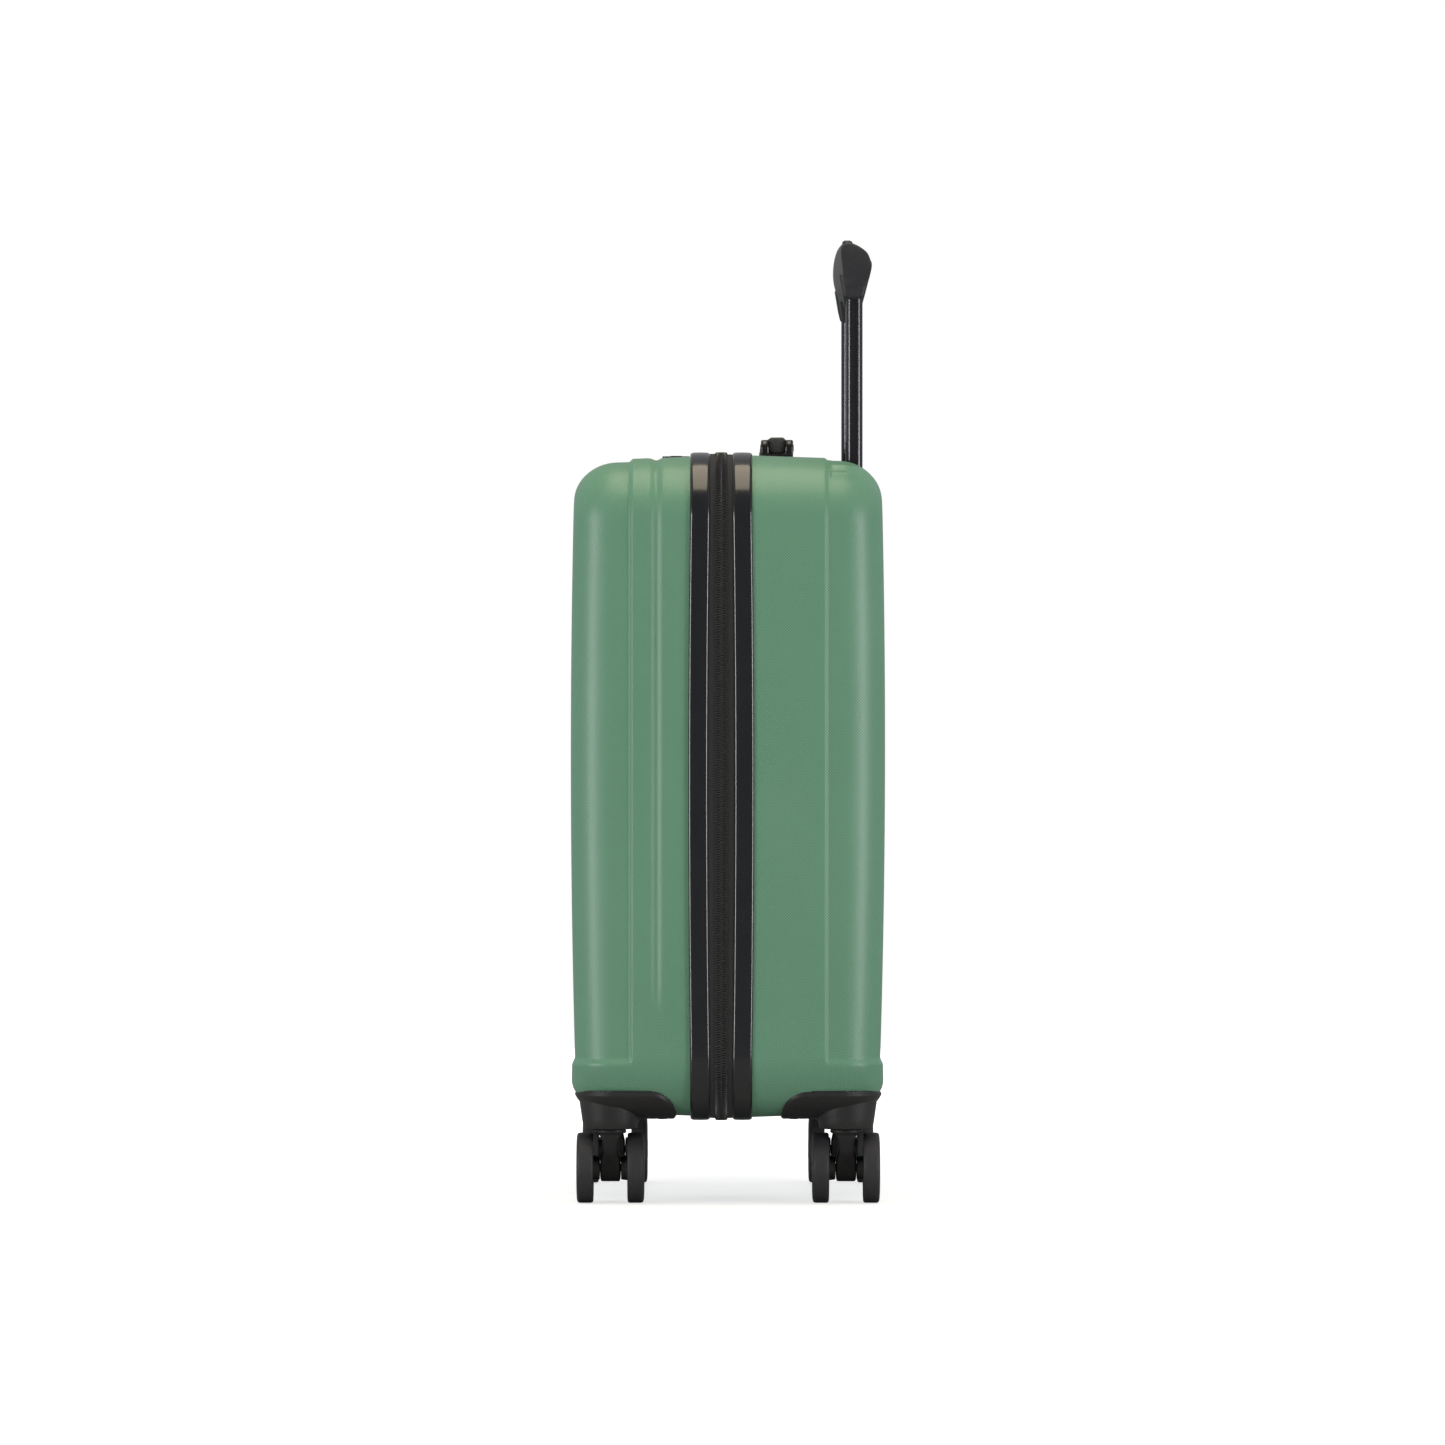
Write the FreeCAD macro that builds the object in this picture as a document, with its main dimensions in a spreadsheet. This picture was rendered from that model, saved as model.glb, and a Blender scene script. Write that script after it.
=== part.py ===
import FreeCAD, Part
import os
import re

import Sketcher

# A cabin suitcase: two thermoformed half shells that meet at a zip, a two-stage pull handle, a lifting
# carry handle, a zip lock and four twin-wheel swivel casters.
# Frame: X across the width, Y from the front shell (-Y) to the rear shell (+Y), Z up from the floor.
# The origin is on the floor, in the middle of the case.

SIZES = {
    # The case
    "case_width": (370, "outside width of the shells"),
    "case_half_depth": (112.5, "centre to the front and rear faces"),
    "case_bottom": (62, "underside of the shells"),
    "case_top": (536, "top of the shells"),
    "parting": (-5, "plane where the two halves meet"),
    "corner_radius": (45, "corner of the shell, seen from the front"),
    "face_radius": (32, "edge between a side wall and a face"),
    "wall": (2.2, "shell thickness"),
    "recess": (2, "how far the end panel steps in from the frame zone"),
    "panel_drop": (1.5, "how far the end panel stands behind the bumper"),
    "step_plane": (70, "centre to the step round the end panel"),
    "bumper_top": (102, "top of the full-size zone at the foot of the case"),
    "groove_near": (48, "centre to the near side of the front shell's groove"),
    "groove_far": (55, "centre to the far side of the front shell's groove"),
    "groove_depth": (1.2, "depth of the groove"),
    "rib_drop": (0.4, "how far the rib beyond the groove is set in"),
    # Trim and zip
    "trim_start": (8, "parting plane to the trim"),
    "trim_width": (14.2, "width of the trim strip"),
    "trim_proud": (2.4, "trim above the shell"),
    "trim_lip": (2.2, "thickness of the lip over the shell's rim"),
    "trim_lip_depth": (4, "how far the lip reaches inwards"),
    "zip_play": (0.1, "half the gap between the two coils"),
    "tape_half": (0.4, "half the thickness of the zip tape"),
    "coil_width": (4.4, "width of one coil"),
    "coil_proud": (2.2, "coil above the shell's surface"),
    "zip_end_low": (105, "foot of the zip-free hinge side"),
    "zip_end_high": (495, "head of the zip-free hinge side"),
    "strip_low": (112, "foot of the hinge strip"),
    "strip_high": (488, "head of the hinge strip"),
    # Lining
    "lining_gap": (0.5, "gap between shell and lining"),
    "lining_thickness": (1.2, "thickness of the lining"),
    # Corner guards and casters
    "guard_skin": (1.5, "guard outside the shell"),
    "guard_top": (82, "top edge of the guard"),
    "guard_side": (112, "centre to the guard's inner end, across"),
    "guard_reach": (38, "centre to the guard's inner end, fore and aft"),
    "guard_round": (18, "rounding of the guard's upper inner corners"),
    "caster_x": (147, "centre to a swivel axis, across"),
    "caster_y": (84.5, "centre to a swivel axis, fore and aft"),
    "cup_bottom": (53.8, "underside of the caster cup"),
    "cup_radius": (19.2, "cup at its underside"),
    "cup_root_radius": (26.5, "cup where it meets the guard"),
    "core_radius": (13, "core of the cup inside the case"),
    "core_top": (76, "top of that core"),
    "stem_radius": (5, "swivel stem"),
    "stem_play": (0.05, "radial play of the stem"),
    "stem_top": (70, "top of the stem"),
    "bore_top": (72, "blind end of the stem's bore"),
    "disc_radius": (11.5, "disc on top of the fork"),
    "disc_top": (53.3, "top of the disc"),
    "disc_bottom": (50.7, "underside of the disc"),
    "caster_trail": (12, "axle behind the swivel axis"),
    "web_half": (7.2, "half the width of the fork's web"),
    "web_nose": (8, "web ahead of the swivel axis"),
    "axle_boss": (9.8, "radius of the fork round the axle"),
    "axle_radius": (3, "axle"),
    "axle_half": (22, "half the length of the axle"),
    "wheel_radius": (25.25, "wheel"),
    "hub_radius": (18.5, "hub inside the tyre"),
    "hub_bore_play": (0.05, "radial play of the hub on the axle"),
    "hub_boss": (6, "boss of the hub beside the fork"),
    "boss_start": (7.5, "fork centre to the boss"),
    "hub_start": (12.6, "fork centre to the hub"),
    "hub_end": (23.8, "fork centre to the hub's outer face"),
    "tyre_start": (12.25, "fork centre to the tyre"),
    "tyre_end": (24.55, "fork centre to the tyre's outer side"),
    "hub_web": (4, "thickness of the hub's web"),
    "hub_rim": (2.5, "thickness of the hub's rim"),
    "screw_radius": (1.5, "guard screw"),
    "screw_head": (3, "radius of the screw's head"),
    "screw_head_height": (0.8, "height of the screw's head"),
    "screw_top": (64.4, "tip of the guard screw"),
    # Pull handle
    "tube_x": (125, "centre to a tube, across"),
    "tube_y": (90.5, "centre of the tubes, fore and aft"),
    "tube_wall": (1, "wall of every tube"),
    "inner_wide": (20, "inner tube, across"),
    "inner_deep": (12, "inner tube, fore and aft"),
    "tube_step": (3, "each stage is this much larger"),
    "tube_round": (4.5, "corner of the inner tube"),
    "inner_low": (252, "foot of the inner tube, drawn out as stored"),
    "inner_high": (660, "top of the inner tube in the grip"),
    "middle_low": (88, "foot of the middle tube"),
    "middle_high": (477, "top of the middle tube"),
    "outer_low": (84, "foot of the outer tube"),
    "well_half": (146, "half the width of the handle well"),
    "well_front": (74, "front of the well"),
    "well_rear": (106.5, "rear of the well"),
    "well_wall": (1.7, "wall of the well"),
    "well_floor": (477, "floor of the well"),
    "well_floor_thickness": (3, "thickness of that floor"),
    "foot_half": (132, "half the width of the handle's foot bracket"),
    "grip_half": (139, "half the width of the grip"),
    "leg_width": (27, "width of each grip leg"),
    "grip_bottom": (657, "underside of the grip's bar"),
    "leg_bottom": (643, "underside of the grip's legs"),
    "grip_top": (695, "ridge of the grip"),
    "button_half": (24, "half the length of the release button"),
    "button_top": (698, "top of the release button"),
    "button_travel": (4, "press of the release button"),
    "yoke_low": (676, "underside of the yoke inside the grip"),
    "yoke_high": (681, "top of the yoke"),
    "rod_radius": (2.5, "release rod"),
    "rod_low": (268, "foot of the release rod"),
    "pin_radius": (2, "lock pin at the foot of the inner tube"),
    "pin_play": (0.1, "radial play of the lock pin in the tube"),
    "pin_tip": (0.3, "how far the pin's tip stands out of the inner tube"),
    "pin_rise": (8, "lock pin above the inner tube's foot"),
    "stop_down": (160, "inner tube's travel down to the stowed stop"),
    "stop_up": (75, "inner tube's travel up to the last stop"),
    # Carry handle
    "mount_x": (98, "centre to a carry handle mount"),
    "mount_y": (35.2, "centre of the carry handle, fore and aft"),
    "mount_half_long": (15, "half the mount's length"),
    "mount_half_wide": (11.6, "half the mount's width"),
    "mount_top": (548.4, "top of the mount's cheeks"),
    "mount_base": (2, "thickness of the mount's base"),
    "carry_end": (6.1, "half the width of the handle's end"),
    "carry_play": (0.3, "gap between handle and cheek"),
    "carry_half": (108, "half the handle's length"),
    "carry_top": (550.4, "top of the carry handle"),
    "carry_under": (542, "underside of the handle's bar"),
    # Lock and zip sliders
    "lock_half": (37, "half the lock's length"),
    "lock_near": (28.1, "centre to the lock's edge by the trim"),
    "lock_far": (47.9, "centre to the lock's other edge"),
    "lock_top": (538.6, "top of the lock's flange"),
    "lock_low": (521, "underside of the lock"),
    "lock_inset": (1.5, "flange round the lock's body"),
    "dial_radius": (7, "combination dial"),
    "dial_half": (2.1, "half the thickness of a dial"),
    "dial_play": (0.25, "gap round a dial"),
    "dial_z": (533.2, "height of the dials' axis"),
    "dial_axle": (1.6, "radius of the dials' axle"),
    "dial_first": (-29, "first dial"),
    "dial_pitch": (7, "dial to dial"),
    "key_x": (29, "key cylinder"),
    "key_radius": (3.6, "radius of the key cylinder"),
    "release_low": (12.5, "near end of the lock's release"),
    "release_high": (19.5, "far end of the lock's release"),
    "release_travel": (3, "travel of the lock's release"),
    "slider_x": (7.5, "centre to a zip slider"),
    "slider_half": (6.5, "half the slider's length"),
    "slider_wide": (5.2, "half the slider's width"),
    "slider_low": (538.3, "underside of the slider"),
    "slider_high": (539.6, "top of the slider's plate"),
    "pull_pin_z": (540.8, "axis of the pull"),
    "pull_half": (0.7, "half the thickness of the pull"),
    "pull_width": (2.3, "half the width of the pull"),
    "pull_length": (22, "length of the pull"),
    "pull_dip": (0.8, "how much lower the pull's tip lies than its pin"),
    # Packing straps
    "strap_y": (12, "plane of the packing straps"),
    "strap_thickness": (1.2, "thickness of a strap"),
    "strap_half": (12.5, "half the width of a strap"),
    "strap_spread": (95, "buckle to a strap's anchor, up or down"),
    "buckle_z": (300, "height of the buckle"),
    "buckle_half": (24, "half the length of the buckle"),
}

doc = FreeCAD.newDocument("cabin_suitcase")
dims = doc.addObject("Spreadsheet::Sheet", "dims")
for row, (alias, (value, note)) in enumerate(SIZES.items(), 1):
    dims.set(f"A{row}", note)
    dims.set(f"B{row}", str(value))
    dims.setAlias(f"B{row}", alias)
doc.recompute()

AXIS_TURN = {
    "x": FreeCAD.Rotation(FreeCAD.Vector(0, 1, 0), 90),
    "y": FreeCAD.Rotation(FreeCAD.Vector(1, 0, 0), -90),
    "z": FreeCAD.Rotation(),
}
nodes = []


def cells(expression):
    """The expression with each size's name turned into a reference to its cell."""

    def refer(word):
        return "dims." + word[0] if word[0] in SIZES else word[0]

    return re.sub(r"[a-z][a-z_]*", refer, str(expression))


def bind(item, **sizes):
    """Ties properties of an object to the sheet. A double underscore stands for a dot."""
    for name, expression in sizes.items():
        item.setExpression(name.replace("__", "."), cells(expression))


def place(item, x, y, z, axis="z"):
    item.Placement = FreeCAD.Placement(FreeCAD.Vector(), AXIS_TURN[axis])
    bind(item, Placement__Base__x=x, Placement__Base__y=y, Placement__Base__z=z)


def block(name, x, y, z):
    """A box. x, y and z are pairs: where it starts and where it ends."""
    box = doc.addObject("Part::Box", name)
    bind(box, Length=f"({x[1]}) - ({x[0]})", Width=f"({y[1]}) - ({y[0]})", Height=f"({z[1]}) - ({z[0]})")
    place(box, x[0], y[0], z[0])
    return box


def rod(name, radius, length, x, y, z, axis="z"):
    """A cylinder from the point x, y, z along +axis."""
    cylinder = doc.addObject("Part::Cylinder", name)
    bind(cylinder, Radius=radius, Height=length)
    place(cylinder, x, y, z, axis)
    return cylinder


def fuse(name, *parts):
    joined = doc.addObject("Part::MultiFuse", name)
    joined.Shapes = list(parts)
    joined.Refine = True
    return joined


def cut(name, base, *tools):
    tool = tools[0] if len(tools) == 1 else fuse(name + "_tools", *tools)
    result = doc.addObject("Part::Cut", name)
    result.Base = base
    result.Tool = tool
    return result


def common(name, first, second):
    result = doc.addObject("Part::Common", name)
    result.Base = first
    result.Tool = second
    return result


def mirror(name, source, normal):
    copy = doc.addObject("Part::Mirroring", name)
    copy.Source = source
    copy.Normal = FreeCAD.Vector(*normal)
    return copy


def edges_where(shape, test):
    return [f"Edge{number}" for number, edge in enumerate(shape.Edges, 1) if test(edge)]


def runs_along(axis):
    """A test for straight edges parallel to an axis."""

    def test(edge):
        return isinstance(edge.Curve, Part.Line) and abs(getattr(edge.Curve.Direction, axis)) > 0.999

    return test


def lies_at(axis, value):
    """A test for edges that lie in the plane where axis equals value."""

    def test(edge):
        box = edge.BoundBox
        low, high = getattr(box, axis.upper() + "Min"), getattr(box, axis.upper() + "Max")
        return abs(low - value) < 1e-4 and abs(high - value) < 1e-4

    return test


def dress(body, name, radius, test, kind="Fillet"):
    """Rounds the edges of a body's tip that pass the test."""
    doc.recompute()
    base = body.Tip
    feature = body.newObject("PartDesign::" + kind, name)
    feature.Base = (base, edges_where(base.Shape, test))
    bind(feature, **{"Radius" if kind == "Fillet" else "Size": radius})
    doc.recompute()
    return feature


def rounded_block(name, x, y, z, radius, along="y", face=None, face_radius=0):
    """A body: a box whose edges along one axis are rounded, and, if face is "low" or "high", the edges
    of that end too."""
    body = doc.addObject("PartDesign::Body", name)
    core = body.newObject("PartDesign::AdditiveBox", name + "_core")
    bind(core, Length=f"({x[1]}) - ({x[0]})", Width=f"({y[1]}) - ({y[0]})", Height=f"({z[1]}) - ({z[0]})")
    place(core, x[0], y[0], z[0])
    dress(body, name + "_corners", radius, runs_along(along))
    if face:
        box = core.Shape.BoundBox
        end = getattr(box, along.upper() + ("Max" if face == "high" else "Min"))
        dress(body, name + "_face", face_radius, lies_at(along, end))
    return body


def outline_pad(name, plane, corners, length, x=0, y=0, z=0):
    """A body: a polygon in one of the origin planes, padded along that plane's normal. A corner is a
    pair of expressions, along the plane's two axes."""
    body = doc.addObject("PartDesign::Body", name)
    sketch = body.newObject("Sketcher::SketchObject", name + "_outline")
    role = plane + "_Plane"
    support = [item for item in body.Origin.OriginFeatures if item.Role == role][0]
    sketch.AttachmentSupport = [(support, "")]
    sketch.MapMode = "FlatFace"
    count = len(corners)
    turn = FreeCAD.Rotation(FreeCAD.Vector(0, 0, 1), 360 / count)
    points = [FreeCAD.Vector(50, 0, 0)]
    while len(points) < count:
        points.append(turn.multVec(points[-1]))
    for number in range(count):
        sketch.addGeometry(Part.LineSegment(points[number], points[(number + 1) % count]), False)
    for number in range(count):
        sketch.addConstraint(Sketcher.Constraint("Coincident", number, 2, (number + 1) % count, 1))
    for number, corner in enumerate(corners):
        for kind, along, expression in zip(("DistanceX", "DistanceY"), (0, 1), corner):
            start = points[number][along]
            index = sketch.addConstraint(Sketcher.Constraint(kind, -1, 1, number, 1, start))
            sketch.setExpression(f"Constraints[{index}]", cells(expression))
    pad = body.newObject("PartDesign::Pad", name + "_pad")
    pad.Profile = sketch
    bind(pad, Length=length)
    place(body, x, y, z)
    doc.recompute()
    return body


def keep(node, item):
    """Names a finished piece: its label names its file."""
    item.Label = node
    nodes.append(item)
    return item


# ---------------------------------------------------------------- shells
SIDE = "case_width / 2"


def case_block(name, side, y, z, radius, face=None, face_radius=0):
    """A rounded block centred on X, as wide as the case at side from its middle."""
    return rounded_block(name, (f"-({side})", side), y, z, radius, "y", face, face_radius)


def shell_form(half):
    """The outer form of a shell: the frame zone next to the zip, the end panel that is stepped in, and
    the full-size bumper round its foot."""
    front = half == "front"
    sign = "-1" if front else "1"
    face = "low" if front else "high"

    def span(near, far):
        pair = (f"{sign} * ({near})", f"{sign} * ({far})")
        return pair[::-1] if front else pair

    rim = "trim_start + trim_lip - parting" if front else "parting + trim_start + trim_lip"
    whole_height = ("case_bottom", "case_top")
    stepped_height = ("case_bottom", "case_top - recess")
    zones = []
    if front:
        zones.append(
            case_block("front_frame_zone", SIDE, span(rim, "groove_near"), whole_height, "corner_radius")
        )
        zones.append(
            case_block(
                "front_groove_zone",
                f"{SIDE} - groove_depth",
                span(rim, "step_plane"),
                ("case_bottom + groove_depth", "case_top - groove_depth"),
                "corner_radius - groove_depth",
            )
        )
        zones.append(
            case_block(
                "front_rib_zone",
                f"{SIDE} - rib_drop",
                span("groove_far", "step_plane"),
                ("case_bottom + rib_drop", "case_top - rib_drop"),
                "corner_radius - rib_drop",
            )
        )
    else:
        zones.append(
            case_block("rear_frame_zone", SIDE, span(rim, "step_plane"), whole_height, "corner_radius")
        )
    panel = case_block(
        f"{half}_panel_zone",
        f"{SIDE} - recess",
        span(rim, "case_half_depth - panel_drop"),
        stepped_height,
        "corner_radius - recess",
        face,
        "face_radius - panel_drop",
    )
    bumper = case_block(
        f"{half}_bumper_block",
        SIDE,
        span(rim, "case_half_depth"),
        whole_height,
        "corner_radius",
        face,
        "face_radius",
    )
    reach = (f"-{SIDE}", SIDE)
    foot = block(f"{half}_bumper_range", reach, span(0, "case_half_depth"), ("case_bottom", "bumper_top"))
    zones += [panel, common(f"{half}_bumper_zone", bumper, foot)]
    return fuse(f"{half}_shell_form", *zones), bumper, panel


def inner_form(half, name, gap, open_by):
    """The form of a shell's inside, gap inside its panel, starting open_by before the rim."""
    front = half == "front"
    rim = "trim_start + trim_lip - parting" if front else "parting + trim_start + trim_lip"
    sign = "-1" if front else "1"
    near, far = f"{sign} * ({rim} - ({open_by}))", f"{sign} * (case_half_depth - panel_drop - ({gap}))"
    return case_block(
        name,
        f"{SIDE} - recess - ({gap})",
        (far, near) if front else (near, far),
        (f"case_bottom + ({gap})", f"case_top - recess - ({gap})"),
        f"corner_radius - recess - ({gap})",
        "low" if front else "high",
        f"face_radius - panel_drop - ({gap})",
    )


front_form, front_bumper, front_panel = shell_form("front")
rear_form, rear_bumper, rear_panel = shell_form("rear")

CORNERS = [(side, end) for end in ("rear", "front") for side in ("right", "left")]
SIGN = {"right": "1", "left": "-1", "rear": "1", "front": "-1"}


def core_rod(name, side, end, extra_radius, extra_top):
    """The part of a caster cup that stands inside the case, or the room that it needs."""
    return rod(
        name,
        f"core_radius + {extra_radius}",
        f"core_top + {extra_top} - case_bottom + 10",
        f"{SIGN[side]} * caster_x",
        f"{SIGN[end]} * caster_y",
        "case_bottom - 10",
    )


def screw_places(end):
    """Where the screws of one end's guards stand, as (name, x, y)."""
    found = []
    for side in ("right", "left"):
        for number, (x, y) in enumerate(
            (("guard_side + 9", "guard_reach + 16"), ("guard_side + 16", "guard_reach + 9"))
        ):
            found.append((f"{end}_{side}_{number}", f"{SIGN[side]} * ({x})", f"{SIGN[end]} * ({y})"))
    return found


def screw_shanks(end, purpose):
    return [
        rod(
            f"{purpose}_{name}",
            "screw_radius",
            "screw_top - case_bottom + guard_skin",
            x,
            y,
            "case_bottom - guard_skin",
        )
        for name, x, y in screw_places(end)
    ]


lock_opening = block(
    "lock_opening",
    ("-(lock_half - lock_inset)", "lock_half - lock_inset"),
    ("-(lock_far - lock_inset)", "-(lock_near + lock_inset)"),
    ("lock_low - 1", "case_top + 1"),
)
front_hollow = inner_form("front", "front_hollow", "wall", "1")
keep(
    "front_shell",
    cut(
        "front_shell_cut",
        front_form,
        front_hollow,
        lock_opening,
        *[core_rod(f"front_shell_core_{side}", side, "front", 0, 0) for side in ("right", "left")],
        *screw_shanks("front", "shell_hole"),
    ),
)

well_opening = block(
    "well_opening",
    ("-well_half", "well_half"),
    ("well_front", "well_rear"),
    ("well_floor - well_floor_thickness", "case_top + 5"),
)
rear_hollow = inner_form("rear", "rear_hollow", "wall", "1")
keep(
    "rear_shell",
    cut(
        "rear_shell_cut",
        rear_form,
        rear_hollow,
        well_opening,
        *[core_rod(f"rear_shell_core_{side}", side, "rear", 0, 0) for side in ("right", "left")],
        *screw_shanks("rear", "shell_hole"),
    ),
)


# ---------------------------------------------------------------- trim strips and zip
def ring_block(name, grow, y):
    """A block the size of the case's outline grown outwards."""
    return case_block(
        name,
        f"{SIDE} + ({grow})",
        y,
        (f"case_bottom - ({grow})", f"case_top + ({grow})"),
        f"corner_radius + ({grow})",
    )


def trim_and_zip(half):
    front = half == "front"
    sign = "-1" if front else "1"

    def span(near, far):
        """Two distances from the parting plane, as a pair along Y."""
        pair = (f"parting + {sign} * ({near})", f"parting + {sign} * ({far})")
        return pair[::-1] if front else pair

    strip = ring_block(f"{half}_trim_outside", "trim_proud", span("trim_start", "trim_start + trim_width"))
    seat = ring_block(f"{half}_trim_seat", "0", span("trim_start + trim_lip", "trim_start + trim_width + 1"))
    mouth = ring_block(
        f"{half}_trim_mouth",
        "-trim_lip_depth",
        span("trim_start - 1", "trim_start + trim_lip + 1"),
    )
    keep(f"{half}_trim", cut(f"{half}_trim_cut", strip, seat, mouth))

    tape = ring_block(f"{half}_tape_outside", "tape_half", span("zip_play", "trim_start"))
    coil = ring_block(f"{half}_coil_outside", "coil_proud", span("zip_play", "zip_play + coil_width"))
    inside = ring_block(f"{half}_zip_inside", "-tape_half", span("zip_play - 1", "trim_start + 1"))
    free_side = block(
        f"{half}_zip_free_side",
        (f"-{SIDE} - 10", f"-{SIDE} + 12"),
        span("zip_play - 1", "trim_start + 1"),
        ("zip_end_low", "zip_end_high"),
    )
    keep(f"{half}_zip", cut(f"{half}_zip_cut", fuse(f"{half}_zip_form", tape, coil), inside, free_side))


trim_and_zip("front")
trim_and_zip("rear")
keep(
    "hinge_strip",
    block(
        "hinge_strip_block",
        (f"-{SIDE} - tape_half", f"-{SIDE} + tape_half"),
        ("parting - trim_start", "parting + trim_start"),
        ("strip_low", "strip_high"),
    ),
)


# ---------------------------------------------------------------- corner guards
guard_block = case_block(
    "guard_block",
    f"{SIDE} + guard_skin",
    ("0", "case_half_depth + guard_skin"),
    ("case_bottom - guard_skin", "case_top"),
    "corner_radius + guard_skin",
    "high",
    "face_radius + guard_skin",
)
guard_region = doc.addObject("PartDesign::Body", "guard_region")
region_core = guard_region.newObject("PartDesign::AdditiveBox", "guard_region_core")
bind(
    region_core,
    Length=f"{SIDE} + 20 - guard_side",
    Width="case_half_depth + 20 - guard_reach",
    Height="guard_top - 40",
)
place(region_core, "guard_side", "guard_reach", "40")
doc.recompute()


def inner_upper_edge(edge):
    box = edge.BoundBox
    at_top = abs(box.ZMin - dims.guard_top) < 1e-4 and abs(box.ZMax - dims.guard_top) < 1e-4
    at_side = abs(box.XMax - dims.guard_side) < 1e-4
    at_reach = abs(box.YMax - dims.guard_reach) < 1e-4
    return at_top and (at_side or at_reach)


dress(guard_region, "guard_region_round", "guard_round", inner_upper_edge)
cup = doc.addObject("Part::Cone", "caster_cup")
bind(cup, Radius1="cup_radius", Radius2="cup_root_radius", Height="guard_top - cup_bottom")
place(cup, "caster_x", "caster_y", "cup_bottom")
guard_outside = fuse("guard_outside", common("guard_skin_form", guard_block, guard_region), cup)
guard_on_shell = cut("guard_on_shell", guard_outside, rear_bumper)
guard_core = core_rod("guard_core", "right", "rear", 0, 0)
guard_core_cut = block("guard_core_range", ("0", SIDE), ("0", "case_half_depth"), ("cup_bottom", "core_top"))
guard_whole = fuse("guard_whole", guard_on_shell, common("guard_core_inside", guard_core, guard_core_cut))
guard_bore = rod(
    "guard_bore",
    "stem_radius + stem_play",
    "bore_top - cup_bottom + 1",
    "caster_x",
    "caster_y",
    "cup_bottom - 1",
)
right_shanks = [
    rod(f"guard_hole_{name}", "screw_radius", 10, x, y, "case_bottom - 5")
    for name, x, y in screw_places("rear")
    if "right" in name
]
rear_right_guard = keep("rear_right_guard", cut("guard_cut", guard_whole, guard_bore, *right_shanks))
keep("rear_left_guard", mirror("rear_left_guard_copy", rear_right_guard, (1, 0, 0)))
front_right_guard = keep("front_right_guard", mirror("front_right_guard_copy", rear_right_guard, (0, 1, 0)))
keep("front_left_guard", mirror("front_left_guard_copy", front_right_guard, (1, 0, 0)))

for end in ("rear", "front"):
    screws = screw_shanks(end, "screw_shank")
    heads = [
        rod(
            f"screw_head_{name}",
            "screw_head",
            "screw_head_height",
            x,
            y,
            "case_bottom - guard_skin - screw_head_height",
        )
        for name, x, y in screw_places(end)
    ]
    keep(f"{end}_screws", fuse(f"{end}_screws_set", *screws, *heads))


# ---------------------------------------------------------------- linings
def lining(half, gap, name, rooms):
    form = inner_form(half, name + "_form", gap, "-0.1")
    return cut(name, form, *rooms)


def trolley_room(name, grow):
    """The room that the handle's tubes, well and foot take behind the rear lining."""
    rear = ("tube_y", "case_half_depth + 5")
    rooms = []
    for side in ("right", "left"):
        x = f"{SIGN[side]} * tube_x"
        half = f"inner_wide / 2 + tube_step + 1.5 + {grow}"
        rooms.append(
            block(
                f"{name}_tube_{side}",
                (f"{x} - ({half})", f"{x} + ({half})"),
                (f"tube_y - inner_deep / 2 - tube_step - 1.5 - {grow}", rear[1]),
                ("case_bottom - 5", "well_floor"),
            )
        )
        rooms.append(core_rod(f"{name}_core_{side}", side, "rear", f"1.5 + {grow}", f"2 + {grow}"))
    rooms.append(
        block(
            f"{name}_well",
            (f"-(well_half + 1 + {grow})", f"well_half + 1 + {grow}"),
            (f"well_front - 1 - {grow}", rear[1]),
            (f"well_floor - well_floor_thickness - 1 - {grow}", "case_top + 5"),
        )
    )
    rooms.append(
        block(
            f"{name}_foot",
            (f"-(foot_half + 1.5 + {grow})", f"foot_half + 1.5 + {grow}"),
            (f"tube_y - inner_deep / 2 - tube_step - 1.5 - {grow}", rear[1]),
            ("case_bottom - 5", f"outer_low + 2 + {grow}"),
        )
    )
    return rooms


def lock_room(name, grow):
    rooms = [
        core_rod(f"{name}_core_{side}", side, "front", f"1.5 + {grow}", f"2 + {grow}") for side in (
            "right",
            "left",
        )
    ]
    rooms.append(
        block(
            f"{name}_lock",
            (f"-(lock_half + 1.5 + {grow})", f"lock_half + 1.5 + {grow}"),
            (f"-(lock_far + 1.5 + {grow})", "0"),
            (f"lock_low - 1.5 - {grow}", "case_top + 5"),
        )
    )
    return rooms


for half, room in (("rear", trolley_room), ("front", lock_room)):
    outside = lining(half, "wall + lining_gap", f"{half}_lining_outside", room(f"{half}_room", "0"))
    inside_gap = "wall + lining_gap + lining_thickness"
    inside_form = inner_form(half, f"{half}_lining_hollow_form", inside_gap, "1")
    inside = cut(f"{half}_lining_hollow", inside_form, *room(f"{half}_room_skin", "lining_thickness"))
    keep(f"{half}_lining", cut(f"{half}_lining_cut", outside, inside))

pocket_face = "-(case_half_depth - panel_drop - wall - lining_gap - lining_thickness)"
keep(
    "mesh_pocket",
    rounded_block(
        "mesh_pocket_panel",
        ("-140", "140"),
        (pocket_face, f"{pocket_face} + 1.4"),
        ("110", "330"),
        "12",
    ),
)


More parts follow.
